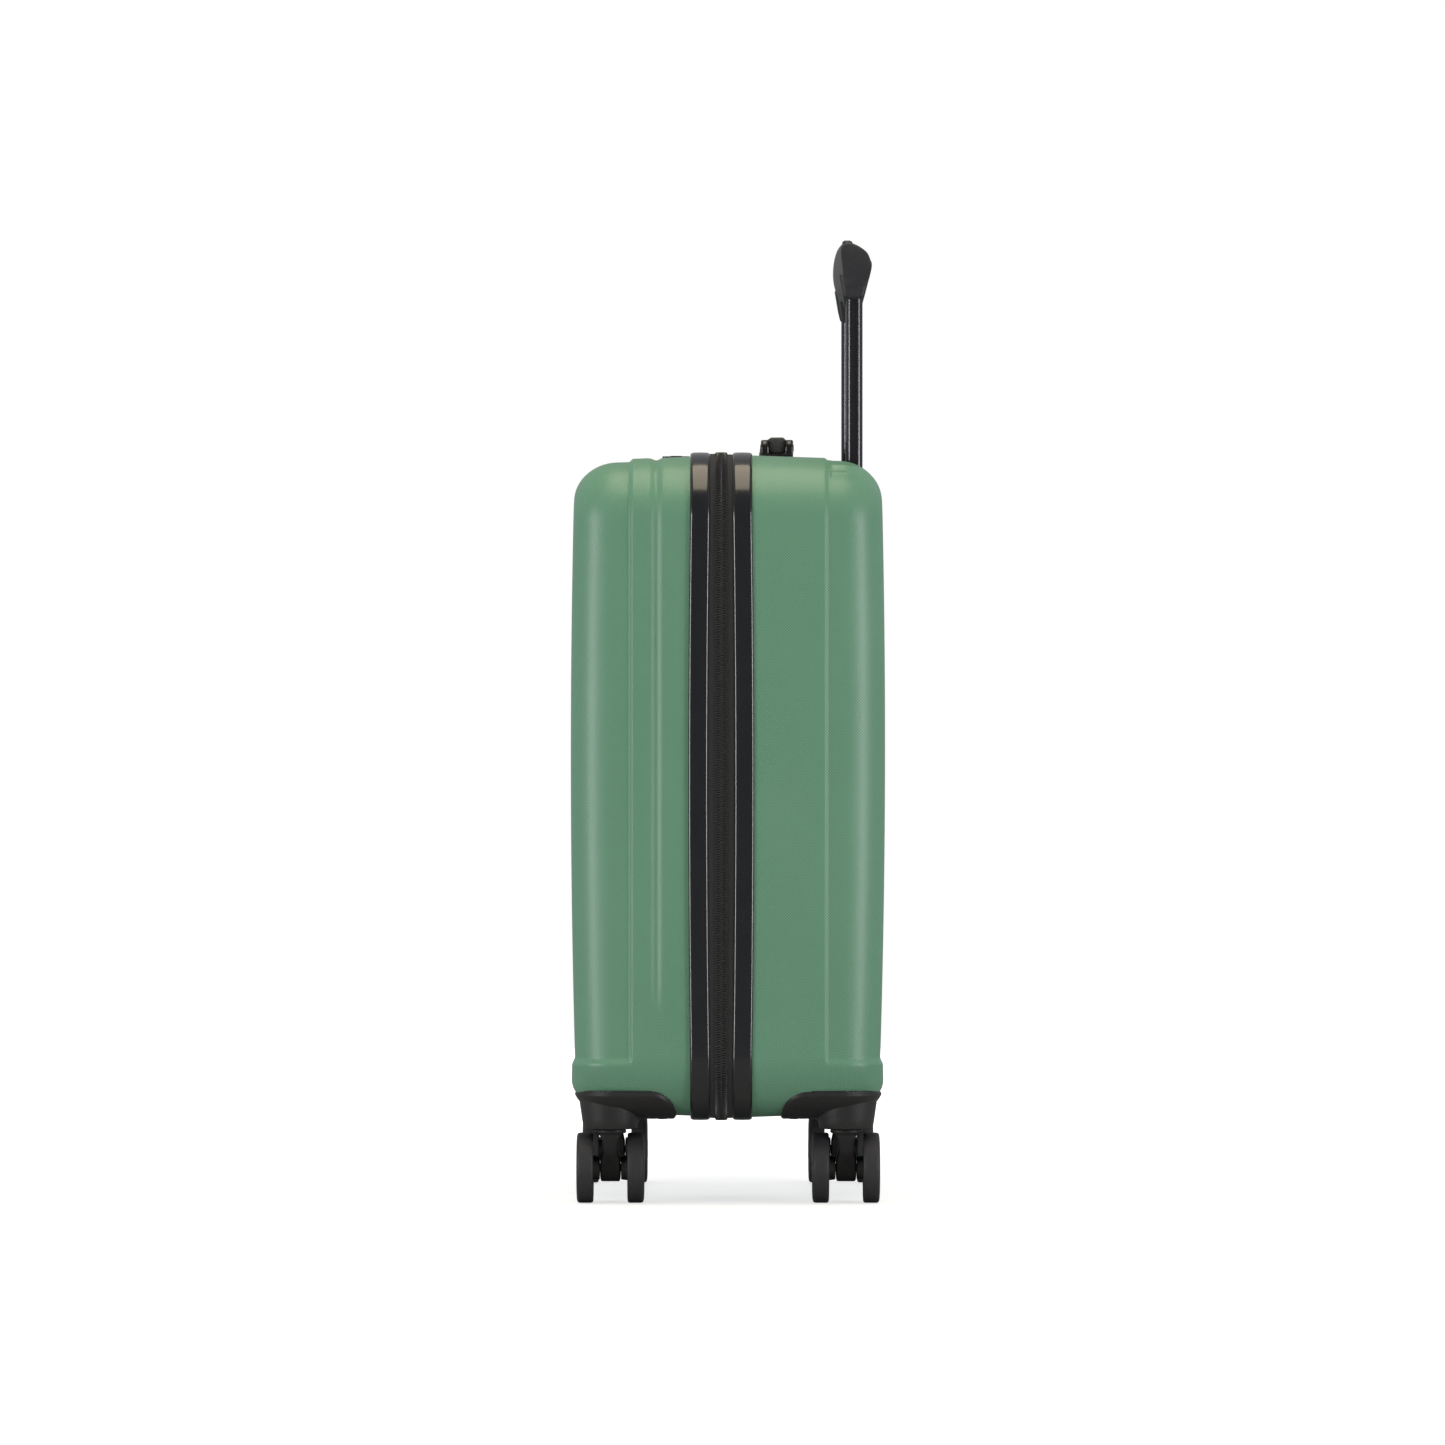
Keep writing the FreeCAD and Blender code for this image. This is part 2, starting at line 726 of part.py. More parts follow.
# ---------------------------------------------------------------- pull handle
def tube_solid(name, side, stage, z):
    """A full-length rounded bar with the outside of a stage's tube: 0 inner, 1 middle, 2 outer. A stage
    of 0.x is a bar that much larger, for the bores."""
    x = f"{SIGN[side]} * tube_x"
    wide = f"inner_wide / 2 + tube_step / 2 * {stage}"
    deep = f"inner_deep / 2 + tube_step / 2 * {stage}"
    return rounded_block(
        name,
        (f"{x} - ({wide})", f"{x} + ({wide})"),
        (f"tube_y - ({deep})", f"tube_y + ({deep})"),
        z,
        f"tube_round + tube_step / 2 * {stage}",
        "z",
    )


def tube(name, side, stage, low, high):
    outside = tube_solid(name + "_outside", side, stage, (low, high))
    bore_stage = f"({stage} - tube_wall * 2 / tube_step)"
    return cut(name, outside, tube_solid(name + "_bore", side, bore_stage, (f"{low} - 1", f"{high} + 1")))


floor_underside = "well_floor - well_floor_thickness"
keep(
    "outer_tubes",
    fuse(
        "outer_tube_pair",
        *[tube(f"outer_tube_{s}", s, 2, "outer_low", floor_underside) for s in ("right", "left")],
    ),
)
middle_pair = []
for side in ("right", "left"):
    # The lock pin's hole in the inner tube, and one in the middle tube at each stop.
    x, pin_z = f"{SIGN[side]} * tube_x", "inner_low + pin_rise"
    hole = "pin_radius + pin_play"
    pin_hole = rod(f"pin_hole_{side}", hole, "inner_wide / 2 + 1", x, "tube_y", pin_z, "x")
    keep(
        f"{side}_inner_tube",
        cut(
            f"inner_tube_{side}_cut",
            tube(f"inner_tube_{side}", side, 0, "inner_low", "inner_high"),
            pin_hole,
        ),
    )
    stops = [
        rod(f"stop_{name}_{side}", hole, "inner_wide / 2 + 5", x, "tube_y", f"{pin_z} + {travel}", "x")
        for name, travel in (("stowed", "-stop_down"), ("half_out", "0"), ("out", "stop_up"))
    ]
    middle_pair.append(
        cut(
            f"middle_tube_{side}_cut",
            tube(f"middle_tube_{side}", side, 1, "middle_low", "middle_high"),
            *stops,
        )
    )
keep("middle_tubes", fuse("middle_tube_pair", *middle_pair))

well_outside = common(
    "well_outside",
    block(
        "well_block",
        ("-well_half", "well_half"),
        ("well_front", "well_rear"),
        ("well_floor - well_floor_thickness", "case_top"),
    ),
    rear_panel,
)
well_inside = rounded_block(
    "well_inside",
    ("-(well_half - well_wall)", "well_half - well_wall"),
    ("well_front + well_wall", "well_rear - well_wall"),
    ("well_floor", "case_top + 5"),
    "6",
    "z",
)
keep(
    "trolley_bezel",
    cut(
        "trolley_bezel_cut",
        well_outside,
        well_inside,
        *[
            tube_solid(f"bezel_hole_{s}", s, 1.2, ("well_floor - 10", "well_floor + 5")) for s in (
                "right",
                "left",
            )
        ],
    ),
)
foot_deep = "inner_deep / 2 + tube_step"
foot_bar = rounded_block(
    "trolley_foot_bar",
    ("-foot_half", "foot_half"),
    (f"tube_y - ({foot_deep})", f"tube_y + ({foot_deep})"),
    ("case_bottom", "outer_low"),
    "4",
    "z",
)
keep("trolley_foot", common("trolley_foot_form", foot_bar, rear_hollow))

# The grip: a bar with a ridge towards the front and a sloping back, and two legs that take the tubes.
bar_profile = [
    ("tube_y - 8", "grip_bottom"),
    ("tube_y + 7", "grip_bottom"),
    ("tube_y + 13", "grip_top - 22"),
    ("tube_y + 9.5", "grip_top - 12"),
    ("tube_y - 2", "grip_top"),
    ("tube_y - 6", "grip_top"),
    ("tube_y - 11.5", "grip_top - 9"),
    ("tube_y - 13.5", "grip_top - 24"),
]
leg_profile = [
    ("tube_y - 7.5", "leg_bottom"),
    ("tube_y + 7.5", "leg_bottom"),
    ("tube_y + 12.5", "grip_top - 22"),
    ("tube_y + 9", "grip_top - 13"),
    ("tube_y - 2", "grip_top - 1"),
    ("tube_y - 6", "grip_top - 1"),
    ("tube_y - 11", "grip_top - 10"),
    ("tube_y - 11", "grip_top - 24"),
]
bar = outline_pad(
    "grip_bar",
    "YZ",
    bar_profile,
    "2 * (grip_half - leg_width / 2)",
    x="-(grip_half - leg_width / 2)",
)
legs = []
for side in ("right", "left"):
    start = "grip_half - leg_width" if side == "right" else "-grip_half"
    leg = outline_pad(f"grip_leg_{side}", "YZ", leg_profile, "leg_width", x=start)
    dress(leg, f"grip_leg_{side}_round", "2", runs_along("x"))
    legs.append(leg)
yoke_room = block(
    "yoke_room",
    ("-(tube_x + 4)", "tube_x + 4"),
    ("tube_y - 7", "tube_y + 5"),
    ("yoke_low - button_travel - 1", "yoke_high + 1"),
)
button_room = rounded_block(
    "button_room",
    ("-(button_half + 0.4)", "button_half + 0.4"),
    ("tube_y - 8.4", "tube_y + 0.4"),
    ("yoke_low", "button_top + 2"),
    "4.3",
    "z",
)
tube_rooms = [
    tube_solid(f"grip_socket_{s}", s, 0, ("leg_bottom - 5", "inner_high")) for s in ("right", "left")
]
rod_rooms = [
    rod(
        f"rod_room_{s}",
        "rod_radius + 0.7",
        "yoke_low - inner_high",
        f"{SIGN[s]} * tube_x",
        "tube_y",
        "inner_high",
    )
    for s in ("right", "left")
]
grip_form = fuse("grip_form", bar, *legs)
keep("grip", cut("grip_cut", grip_form, yoke_room, button_room, *tube_rooms, *rod_rooms))

button_cap = rounded_block(
    "button_cap",
    ("-button_half", "button_half"),
    ("tube_y - 8", "tube_y"),
    ("yoke_high - 1", "button_top"),
    "3.9",
    "z",
)
yoke = block(
    "yoke",
    ("-(tube_x + 3)", "tube_x + 3"),
    ("tube_y - 6.5", "tube_y + 3.5"),
    ("yoke_low", "yoke_high"),
)
keep("grip_button", fuse("grip_button_form", button_cap, yoke))
keep(
    "release_rods",
    fuse(
        "release_rod_pair",
        *[
            rod(
                f"release_rod_{s}",
                "rod_radius",
                "yoke_low - rod_low",
                f"{SIGN[s]} * tube_x",
                "tube_y",
                "rod_low",
            )
            for s in ("right", "left")
        ],
    ),
)
pins = [
    rod(
        f"lock_pin_{side}",
        "pin_radius",
        "inner_wide / 2 + pin_tip + 6",
        f"{SIGN[side]} * tube_x - 6",
        "tube_y",
        "inner_low + pin_rise",
        "x",
    )
    for side in ("right", "left")
]
keep("lock_pins", fuse("lock_pin_pair", *pins))


# ---------------------------------------------------------------- carry handle
cheek = "carry_end + carry_play"
mount_body = rounded_block(
    "mount_body",
    ("mount_x - mount_half_long", "mount_x + mount_half_long"),
    ("mount_y - mount_half_wide", "mount_y + mount_half_wide"),
    ("case_top", "mount_top"),
    "5",
    "z",
)
mount_slot = block(
    "mount_slot",
    ("mount_x - mount_half_long - 1", "mount_x + mount_half_long - 3"),
    (f"mount_y - ({cheek})", f"mount_y + {cheek}"),
    ("case_top + mount_base", "mount_top + 5"),
)
right_mount = keep("right_handle_mount", cut("right_mount_cut", mount_body, mount_slot))
keep("left_handle_mount", mirror("left_mount_copy", right_mount, (1, 0, 0)))

ends = [
    rounded_block(
        f"carry_end_{side}",
        (f"{SIGN[side]} * (carry_half - 9) - 9", f"{SIGN[side]} * (carry_half - 9) + 9"),
        ("mount_y - carry_end", "mount_y + carry_end"),
        ("case_top + mount_base + carry_play", "carry_top"),
        "3",
        "z",
    )
    for side in ("right", "left")
]
strap = rounded_block(
    "carry_strap",
    ("-(carry_half - 5)", "carry_half - 5"),
    ("mount_y - carry_end", "mount_y + carry_end"),
    ("carry_under", "carry_top"),
    "2.5",
    "x",
)
palm = rounded_block(
    "carry_palm",
    ("-60", "60"),
    ("mount_y - 11", "mount_y + 11"),
    ("carry_under", "carry_top"),
    "4",
    "x",
)
keep("carry_handle", fuse("carry_handle_form", *ends, strap, palm))


# ---------------------------------------------------------------- lock
lock_flange = rounded_block(
    "lock_flange",
    ("-lock_half", "lock_half"),
    ("-lock_far", "-lock_near"),
    ("case_top", "lock_top"),
    "3",
    "z",
)
lock_core = block(
    "lock_core",
    ("-(lock_half - lock_inset)", "lock_half - lock_inset"),
    ("-(lock_far - lock_inset)", "-(lock_near + lock_inset)"),
    ("lock_low", "case_top"),
)
lock_y = "-(lock_near + lock_far) / 2"
dial_rooms = []
for number in range(3):
    x = f"dial_first + {number} * dial_pitch"
    disc = rod(
        f"dial_{number + 1}",
        "dial_radius",
        "2 * dial_half",
        f"{x} - dial_half",
        lock_y,
        "dial_z",
        "x",
    )
    bore = rod(
        f"dial_bore_{number + 1}",
        "dial_axle + stem_play",
        "2 * dial_half + 2",
        f"{x} - dial_half - 1",
        lock_y,
        "dial_z",
        "x",
    )
    keep(f"lock_dial_{number + 1}", cut(f"dial_cut_{number + 1}", disc, bore))
    dial_rooms.append(
        rod(
            f"dial_room_{number + 1}",
            "dial_radius + dial_play",
            "2 * (dial_half + dial_play)",
            f"{x} - dial_half - dial_play",
            lock_y,
            "dial_z",
            "x",
        )
    )
key_room = rod("key_room", "key_radius + stem_play", 20, "key_x", lock_y, "lock_top - 10")
release_room = block(
    "release_room",
    ("release_low - 0.3", "release_high + release_travel + 0.3"),
    (f"{lock_y} - 4.3", f"{lock_y} + 4.3"),
    ("lock_top - 5", "lock_top + 5"),
)
lock_form = fuse("lock_form", lock_flange, lock_core)
dial_span = "2 * dial_pitch + 2 * dial_half + 2"
dial_axle = rod("dial_axle", "dial_axle", dial_span, "dial_first - dial_half - 1", lock_y, "dial_z", "x")
lock_case = cut("lock_case", lock_form, *dial_rooms, key_room, release_room)
keep("lock_body", fuse("lock_body_form", lock_case, dial_axle))

key_slot = block(
    "key_slot",
    ("key_x - 0.6", "key_x + 0.6"),
    (f"{lock_y} - 2.2", f"{lock_y} + 2.2"),
    ("lock_top - 6", "lock_top + 5"),
)
key_barrel = rod("key_barrel", "key_radius", "9.8", "key_x", lock_y, "lock_top - 9.6")
keep("key_cylinder", cut("key_cylinder_cut", key_barrel, key_slot))
release_tab = block(
    "release_tab",
    ("release_low", "release_high"),
    (f"{lock_y} - 4", f"{lock_y} + 4"),
    ("lock_top - 4.8", "lock_top + 0.8"),
)
keep("lock_release", release_tab)


# ---------------------------------------------------------------- zip sliders and pulls
for side in ("right", "left"):
    x = f"{SIGN[side]} * slider_x"
    plate = rounded_block(
        f"slider_plate_{side}",
        (f"{x} - slider_half", f"{x} + slider_half"),
        ("parting - slider_wide", "parting + slider_wide"),
        ("slider_low", "slider_high"),
        "2",
        "z",
    )
    bridge = block(
        f"slider_bridge_{side}",
        (f"{x} - 1.1", f"{x} + 1.1"),
        ("parting - 2.4", "parting + 2.4"),
        ("slider_high", "pull_pin_z + pull_half + 0.7"),
    )
    eye = rod(f"slider_eye_{side}", "pull_half + 0.1", 4, f"{x} - 2", "parting", "pull_pin_z", "x")
    keep(f"{side}_slider", cut(f"{side}_slider_cut", fuse(f"slider_form_{side}", plate, bridge), eye))

    pull_pin = rod(
        f"pull_pin_{side}",
        "pull_half",
        "2 * pull_width",
        f"{x} - pull_width",
        "parting",
        "pull_pin_z",
        "x",
    )
    outline = [
        ("parting", "pull_pin_z - pull_half"),
        ("parting", "pull_pin_z + pull_half"),
        ("parting - pull_length", "pull_pin_z + pull_half - pull_dip"),
        ("parting - pull_length", "pull_pin_z - pull_half - pull_dip"),
    ]
    blade = outline_pad(f"pull_blade_{side}", "YZ", outline, "2 * pull_width", x=f"{x} - pull_width")
    fork_room = block(
        f"pull_fork_{side}",
        (f"{x} - 1.35", f"{x} + 1.35"),
        ("parting - 3.4", "parting + 1"),
        ("pull_pin_z - 2", "pull_pin_z + 2"),
    )
    keep(f"{side}_pull", fuse(f"pull_form_{side}", cut(f"pull_cut_{side}", blade, fork_room), pull_pin))


# ---------------------------------------------------------------- packing straps and their buckle
lining_side = f"{SIDE} - recess - wall - lining_gap - lining_thickness"
for side in ("right", "left"):
    sign = SIGN[side]
    inner_end = "buckle_half"
    outline = [
        (f"{sign} * ({inner_end})", "buckle_z - strap_half"),
        (f"{sign} * ({inner_end} + 14)", "buckle_z - strap_half"),
        (f"{sign} * ({lining_side})", "buckle_z - strap_spread - strap_half"),
        (f"{sign} * ({lining_side})", "buckle_z - strap_spread + strap_half"),
        (f"{sign} * ({inner_end} + 40)", "buckle_z"),
        (f"{sign} * ({lining_side})", "buckle_z + strap_spread - strap_half"),
        (f"{sign} * ({lining_side})", "buckle_z + strap_spread + strap_half"),
        (f"{sign} * ({inner_end} + 14)", "buckle_z + strap_half"),
        (f"{sign} * ({inner_end})", "buckle_z + strap_half"),
    ]
    keep(
        f"{side}_strap",
        outline_pad(f"{side}_strap_web", "XZ", outline, "strap_thickness", y="strap_y + strap_thickness"),
    )

socket_form = rounded_block(
    "socket_form",
    ("-buckle_half", "4"),
    ("strap_y - 5", "strap_y + 5"),
    ("buckle_z - 15", "buckle_z + 15"),
    "3",
    "y",
)
socket_room = block(
    "socket_room",
    ("-18", "5"),
    ("strap_y - 3", "strap_y + 3"),
    ("buckle_z - 11.5", "buckle_z + 11.5"),
)
keep("buckle_socket", cut("buckle_socket_cut", socket_form, socket_room))
plug_head = rounded_block(
    "plug_head",
    ("4.3", "buckle_half"),
    ("strap_y - 5", "strap_y + 5"),
    ("buckle_z - 15", "buckle_z + 15"),
    "3",
    "y",
)
prongs = [
    block(
        f"plug_prong_{number}",
        ("-14", "5"),
        ("strap_y - 2.2", "strap_y + 2.2"),
        (f"buckle_z + {low}", f"buckle_z + {high}"),
    )
    for number, (low, high) in enumerate(((-10.8, -6.8), (-1.5, 1.5), (6.8, 10.8)))
]
keep("buckle_plug", fuse("buckle_plug_form", plug_head, *prongs))


# ---------------------------------------------------------------- casters
def caster(side, end):
    name = f"{end}_{side}"
    x, y = f"{SIGN[side]} * caster_x", f"{SIGN[end]} * caster_y"
    axle_x = f"{x} - caster_trail"
    stem = rod(f"{name}_stem", "stem_radius", "stem_top - disc_bottom", x, y, "disc_bottom")
    disc = rod(f"{name}_disc", "disc_radius", "disc_top - disc_bottom", x, y, "disc_bottom")
    web = rounded_block(
        f"{name}_web",
        (f"{axle_x} - axle_boss", f"{x} + web_nose"),
        (f"{y} - web_half", f"{y} + web_half"),
        ("wheel_radius", "disc_bottom"),
        "4",
        "z",
    )
    boss = rod(f"{name}_boss", "axle_boss", "2 * web_half", axle_x, f"{y} - web_half", "wheel_radius", "y")
    axle_hole = rod(
        f"{name}_axle_hole",
        "axle_radius",
        "2 * web_half + 2",
        axle_x,
        f"{y} - web_half - 1",
        "wheel_radius",
        "y",
    )
    keep(
        f"{name}_fork",
        cut(f"{name}_fork_cut", fuse(f"{name}_fork_form", stem, disc, web, boss), axle_hole),
    )
    keep(
        f"{name}_axle",
        rod(
            f"{name}_axle_pin",
            "axle_radius",
            "2 * axle_half",
            axle_x,
            f"{y} - axle_half",
            "wheel_radius",
            "y",
        ),
    )
    for place_name, out in (("outer", SIGN[end]), ("inner", f"-1 * {SIGN[end]}")):
        wheel(f"{name}_{place_name}_wheel", axle_x, y, out)


def wheel(name, x, y, out):
    """A wheel on a level axle, on the side of the fork that out points to, as two solids: hub and tyre."""

    def drum(part, radius, near, far):
        middle = f"{y} + {out} * (({near}) + ({far})) / 2"
        half = f"(({far}) - ({near})) / 2"
        return rod(f"{name}_{part}", radius, f"2 * {half}", x, f"{middle} - {half}", "wheel_radius", "y")

    hub = fuse(
        f"{name}_hub_form",
        drum("hub", "hub_radius", "hub_start", "hub_end"),
        drum("boss", "hub_boss", "boss_start", "hub_start"),
    )
    dish = cut(
        f"{name}_dish",
        drum("dish_out", "hub_radius - hub_rim", "hub_start + hub_web + 3", "hub_end + 1"),
        drum("dish_hub", "hub_boss + 1", "hub_start", "hub_end + 2"),
    )
    back = cut(
        f"{name}_back",
        drum("back_out", "hub_radius - hub_rim", "hub_start - 1", "hub_start + 3"),
        drum("back_hub", "hub_boss + 1", "hub_start - 2", "hub_end"),
    )
    bore = drum("bore", "axle_radius + hub_bore_play", "boss_start - 1", "hub_end + 1")
    tyre_outside = rounded_tyre(name, x, y, out)
    tyre = cut(
        f"{name}_tyre",
        tyre_outside,
        drum("tyre_bore", "hub_radius", "tyre_start - 1", "tyre_end + 1"),
    )
    pair = doc.addObject("Part::Compound", f"{name}_pair")
    pair.Links = [cut(f"{name}_hub_cut", hub, dish, back, bore), tyre]
    keep(name, pair)


def rounded_tyre(name, x, y, out):
    body = doc.addObject("PartDesign::Body", f"{name}_tyre_body")
    tread = body.newObject("PartDesign::AdditiveCylinder", f"{name}_tread")
    half = "(tyre_end - tyre_start) / 2"
    bind(tread, Radius="wheel_radius", Height=f"2 * {half}")
    place(tread, x, f"{y} + {out} * (tyre_end + tyre_start) / 2 - {half}", "wheel_radius", "y")
    dress(body, f"{name}_shoulder", "2", lambda edge: isinstance(edge.Curve, Part.Circle))
    return body


for side, end in CORNERS:
    caster(side, end)


# ---------------------------------------------------------------- check and write
doc.recompute()
failed = [item.Name for item in doc.Objects if {"Invalid", "Error"} & set(item.State)]
if failed:
    raise RuntimeError(f"these objects failed: {failed}")
os.makedirs("parts", exist_ok=True)
for item in nodes:
    shape = item.Shape
    if shape.isNull() or not shape.isValid() or not shape.Solids:
        raise RuntimeError(f"{item.Label} has no valid solid")
    shape.exportStep(f"parts/{item.Label}.step")
    print(f"{item.Label:22s} {len(shape.Solids)} solid(s), {shape.Volume / 1000:9.2f} cm3")
print(len(nodes), "nodes")
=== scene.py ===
import math

import bmesh
import bpy
import mathutils
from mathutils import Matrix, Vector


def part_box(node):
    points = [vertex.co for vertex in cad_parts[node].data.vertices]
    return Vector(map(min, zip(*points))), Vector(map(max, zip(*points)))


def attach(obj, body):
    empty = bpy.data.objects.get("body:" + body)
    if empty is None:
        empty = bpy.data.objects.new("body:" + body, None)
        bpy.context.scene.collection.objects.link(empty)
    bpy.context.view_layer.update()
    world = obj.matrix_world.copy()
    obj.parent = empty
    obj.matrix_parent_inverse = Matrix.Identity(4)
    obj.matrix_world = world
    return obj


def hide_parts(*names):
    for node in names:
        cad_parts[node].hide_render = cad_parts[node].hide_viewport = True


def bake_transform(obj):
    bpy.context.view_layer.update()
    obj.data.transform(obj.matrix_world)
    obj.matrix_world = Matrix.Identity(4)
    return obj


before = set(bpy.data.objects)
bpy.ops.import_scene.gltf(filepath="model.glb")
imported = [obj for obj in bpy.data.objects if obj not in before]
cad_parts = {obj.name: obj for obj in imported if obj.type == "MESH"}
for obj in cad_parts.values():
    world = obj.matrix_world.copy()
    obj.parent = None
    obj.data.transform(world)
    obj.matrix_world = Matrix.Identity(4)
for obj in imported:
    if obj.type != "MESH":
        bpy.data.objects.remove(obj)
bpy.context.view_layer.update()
MM = 0.001

# ------------------------------------------------------------------ the shells
# Two half shells, vacuum-formed from 2 mm polycarbonate sheet. The mould leaves a fine diagonal weave
# on the skin, a step round each end panel, a full-size bumper zone at the foot, and flutes down the
# faces. The rear half is cut open on top for the pull handle's well, the front half for the lock.


def ease(low, high, value):
    """0 below low, 1 above high, and a smooth rise between them."""
    share = min(1.0, max(0.0, (value - low) / (high - low)))
    return share * share * (3 - 2 * share)


def spread(low, high, step):
    """Evenly spaced values from low to high, about step apart."""
    count = max(1, round((high - low) / step))
    return [low + (high - low) * number / count for number in range(count + 1)]


def merged(*lists, gap=0.5):
    """The values of several lists in order; a value too near to one of an earlier list is left out."""
    kept = []
    for values in lists:
        for value in values:
            if all(abs(value - other) > gap for other in kept):
                kept.append(value)
    return sorted(kept)


def paint(red, green, blue):
    """A colour mixed on a screen, in the linear values that a shader takes."""
    return (*[((part / 255 + 0.055) / 1.055) ** 2.4 for part in (red, green, blue)], 1.0)


def box_mm(node):
    """The two corners of the box round one of the frame's nodes, in millimetres."""
    return [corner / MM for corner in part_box(node)]


class Wire:
    """A socket of a node tree, so that shader sums are written as sums."""

    def __init__(self, nodes, socket):
        self.nodes = nodes
        self.socket = socket

    def sum(self, operation, *terms):
        return self.nodes.node("Math", {"operation": operation}, dict(enumerate(terms)))

    def wave(self):
        """Its sine."""
        return self.sum("SINE", self)

    def above(self, limit):
        """1 where it is more than a limit, and 0 elsewhere."""
        return self.sum("GREATER_THAN", self, limit)

    def __add__(self, other):
        return self.sum("ADD", self, other)

    def __radd__(self, other):
        return self.sum("ADD", other, self)

    def __sub__(self, other):
        return self.sum("SUBTRACT", self, other)

    def __rsub__(self, other):
        return self.sum("SUBTRACT", other, self)

    def __mul__(self, other):
        return self.sum("MULTIPLY", self, other)

    def __rmul__(self, other):
        return self.sum("MULTIPLY", other, self)

    def __truediv__(self, other):
        return self.sum("DIVIDE", self, other)

    def __pow__(self, other):
        return self.sum("POWER", self, other)

    def __abs__(self):
        return self.sum("ABSOLUTE", self)


class Nodes:
    """A node tree. node() adds any node to it, by its type, settings and sockets."""

    def __init__(self, tree):
        self.tree = tree

    def node(self, kind, settings=None, sockets=None, out=0):
        made = self.tree.nodes.new("ShaderNode" + kind)
        for name, value in (settings or {}).items():
            setattr(made, name, value)
        for name, value in (sockets or {}).items():
            if isinstance(value, Wire):
                self.tree.links.new(value.socket, made.inputs[name])
            else:
                made.inputs[name].default_value = value
        return Wire(self, made.outputs[out])


class Finish(Nodes):
    """A material. Values that are the same all over sit on its shader."""

    def __init__(self, name, **values):
        self.material = bpy.data.materials.new(name)
        self.material.use_nodes = True
        super().__init__(self.material.node_tree)
        self.shader = self.tree.nodes["Principled BSDF"]
        for label, value in values.items():
            self.shader.inputs[label.replace("_", " ").title().replace("Ior", "IOR")].default_value = value

    def drive(self, label, wire):
        """Feeds one of the shader's sockets."""
        self.tree.links.new(wire.socket, self.shader.inputs[label])

    def places(self):
        """The point's x, y and z in the case's frame, in millimetres."""
        point = self.node("TexCoord", out="Object")
        parts = [self.node("SeparateXYZ", {}, {0: point}, out=axis) for axis in range(3)]
        return [part * 1000.0 for part in parts]

    def facing(self):
        """How much the surface faces along x, y and z, each from 0 to 1."""
        normal = self.node("TexCoord", out="Normal")
        return [abs(self.node("SeparateXYZ", {}, {0: normal}, out=axis)) for axis in range(3)]

    def noise(self, scale, detail=3.0, stretch=(1, 1, 1), roughness=0.55):
        """Cloudy values about 0.5; scale is in patches per metre."""
        point = self.node("TexCoord", out="Object")
        placed = self.node("Mapping", {}, {"Vector": point, "Scale": stretch})
        sockets = {"Vector": placed, "Scale": scale, "Detail": detail, "Roughness": roughness}
        return self.node("TexNoise", {}, sockets)

    def shades(self, mask, low, high):
        """Two colours mixed by a mask, on the base colour."""
        self.drive("Base Color", self.node("Mix", {"data_type": "RGBA"}, {0: mask, 6: low, 7: high}, out=2))

    def gloss(self, mask, low, high):
        """A roughness that runs from low to high with a mask."""
        self.drive("Roughness", low + mask * (high - low))

    def relief(self, height, depth, strength=1.0):
        """Raises the surface by depth millimetres where height is 1."""
        sockets = {"Height": height, "Distance": depth * MM, "Strength": strength}
        self.drive("Normal", self.node("Bump", {}, sockets))


def piece(name, points, faces, finish, body, slot, replaces=(), crease=38.0):
    """A mesh of the case from points in millimetres, riding on a body."""
    mesh = bpy.data.meshes.new(name)
    mesh.from_pydata([(x * MM, y * MM, z * MM) for x, y, z in points], [], faces)
    work = bmesh.new()
    work.from_mesh(mesh)
    bmesh.ops.recalc_face_normals(work, faces=work.faces)
    work.to_mesh(mesh)
    work.free()
    mesh.shade_smooth()
    mesh.set_sharp_from_angle(angle=math.radians(crease))
    mesh.materials.append(finish.material)
    made = bpy.data.objects.new(name, mesh)
    bpy.context.scene.collection.objects.link(made)
    if body:
        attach(made, body)
    if replaces:
        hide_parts(*replaces)
    return made


green = Finish("moulded_green_shell", roughness=0.4, ior=1.5, coat_weight=0.12, coat_roughness=0.3)
across, deep, up = green.places()
WEAVE_PITCH = 1.55
DIAGONAL = 0.71
weaves = []
for one, other in ((deep, up), (across, up), (across, deep)):
    rate = 2 * math.pi / WEAVE_PITCH * DIAGONAL
    rising = ((one + other) * rate).wave()
    falling = ((one - other) * rate).wave()
    weaves.append(rising * 0.25 + falling * 0.25 + 0.5)
weights = [part**6.0 for part in green.facing()]
total = weights[0] + weights[1] + weights[2]
weave = (weaves[0] * weights[0] + weaves[1] * weights[1] + weaves[2] * weights[2]) / total
cloud = green.noise(9.0, 4.0)
scuffs = green.noise(420.0, 2.0)
green.shades(weave * 0.75 + cloud * 0.25, paint(84, 137, 107), paint(127, 176, 148))
green.gloss(scuffs * 0.5 + weave * 0.5, 0.32, 0.5)
green.relief(weave * 0.9 + scuffs * 0.1, 0.1)

CORNER = 45.0
EDGE = 32.0
SHELL_WALL = 2.0
front_low, front_high = box_mm("front_shell")
rear_low, rear_high = box_mm("rear_shell")
SIDE, BOTTOM, TOP = rear_high.x, rear_low.z, rear_high.z
FACE = {"front": -front_low.y, "rear": rear_high.y}
RIM = {"front": -front_high.y + 3, "rear": rear_low.y + 3}
SIGN = {"front": -1, "rear": 1, "right": 1, "left": -1}
PARTING = (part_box("front_zip")[1].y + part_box("rear_zip")[0].y) / 2 / MM
bezel_low, bezel_high = box_mm("trolley_bezel")
lock_low, lock_high = box_mm("lock_body")
mount_low, mount_high = box_mm("right_handle_mount")
BUMPER_TOP = 102.0
BEAD = (82.0, 8.0, 1.8)  # a rounded bead across the foot of each face: its height, half width, rise
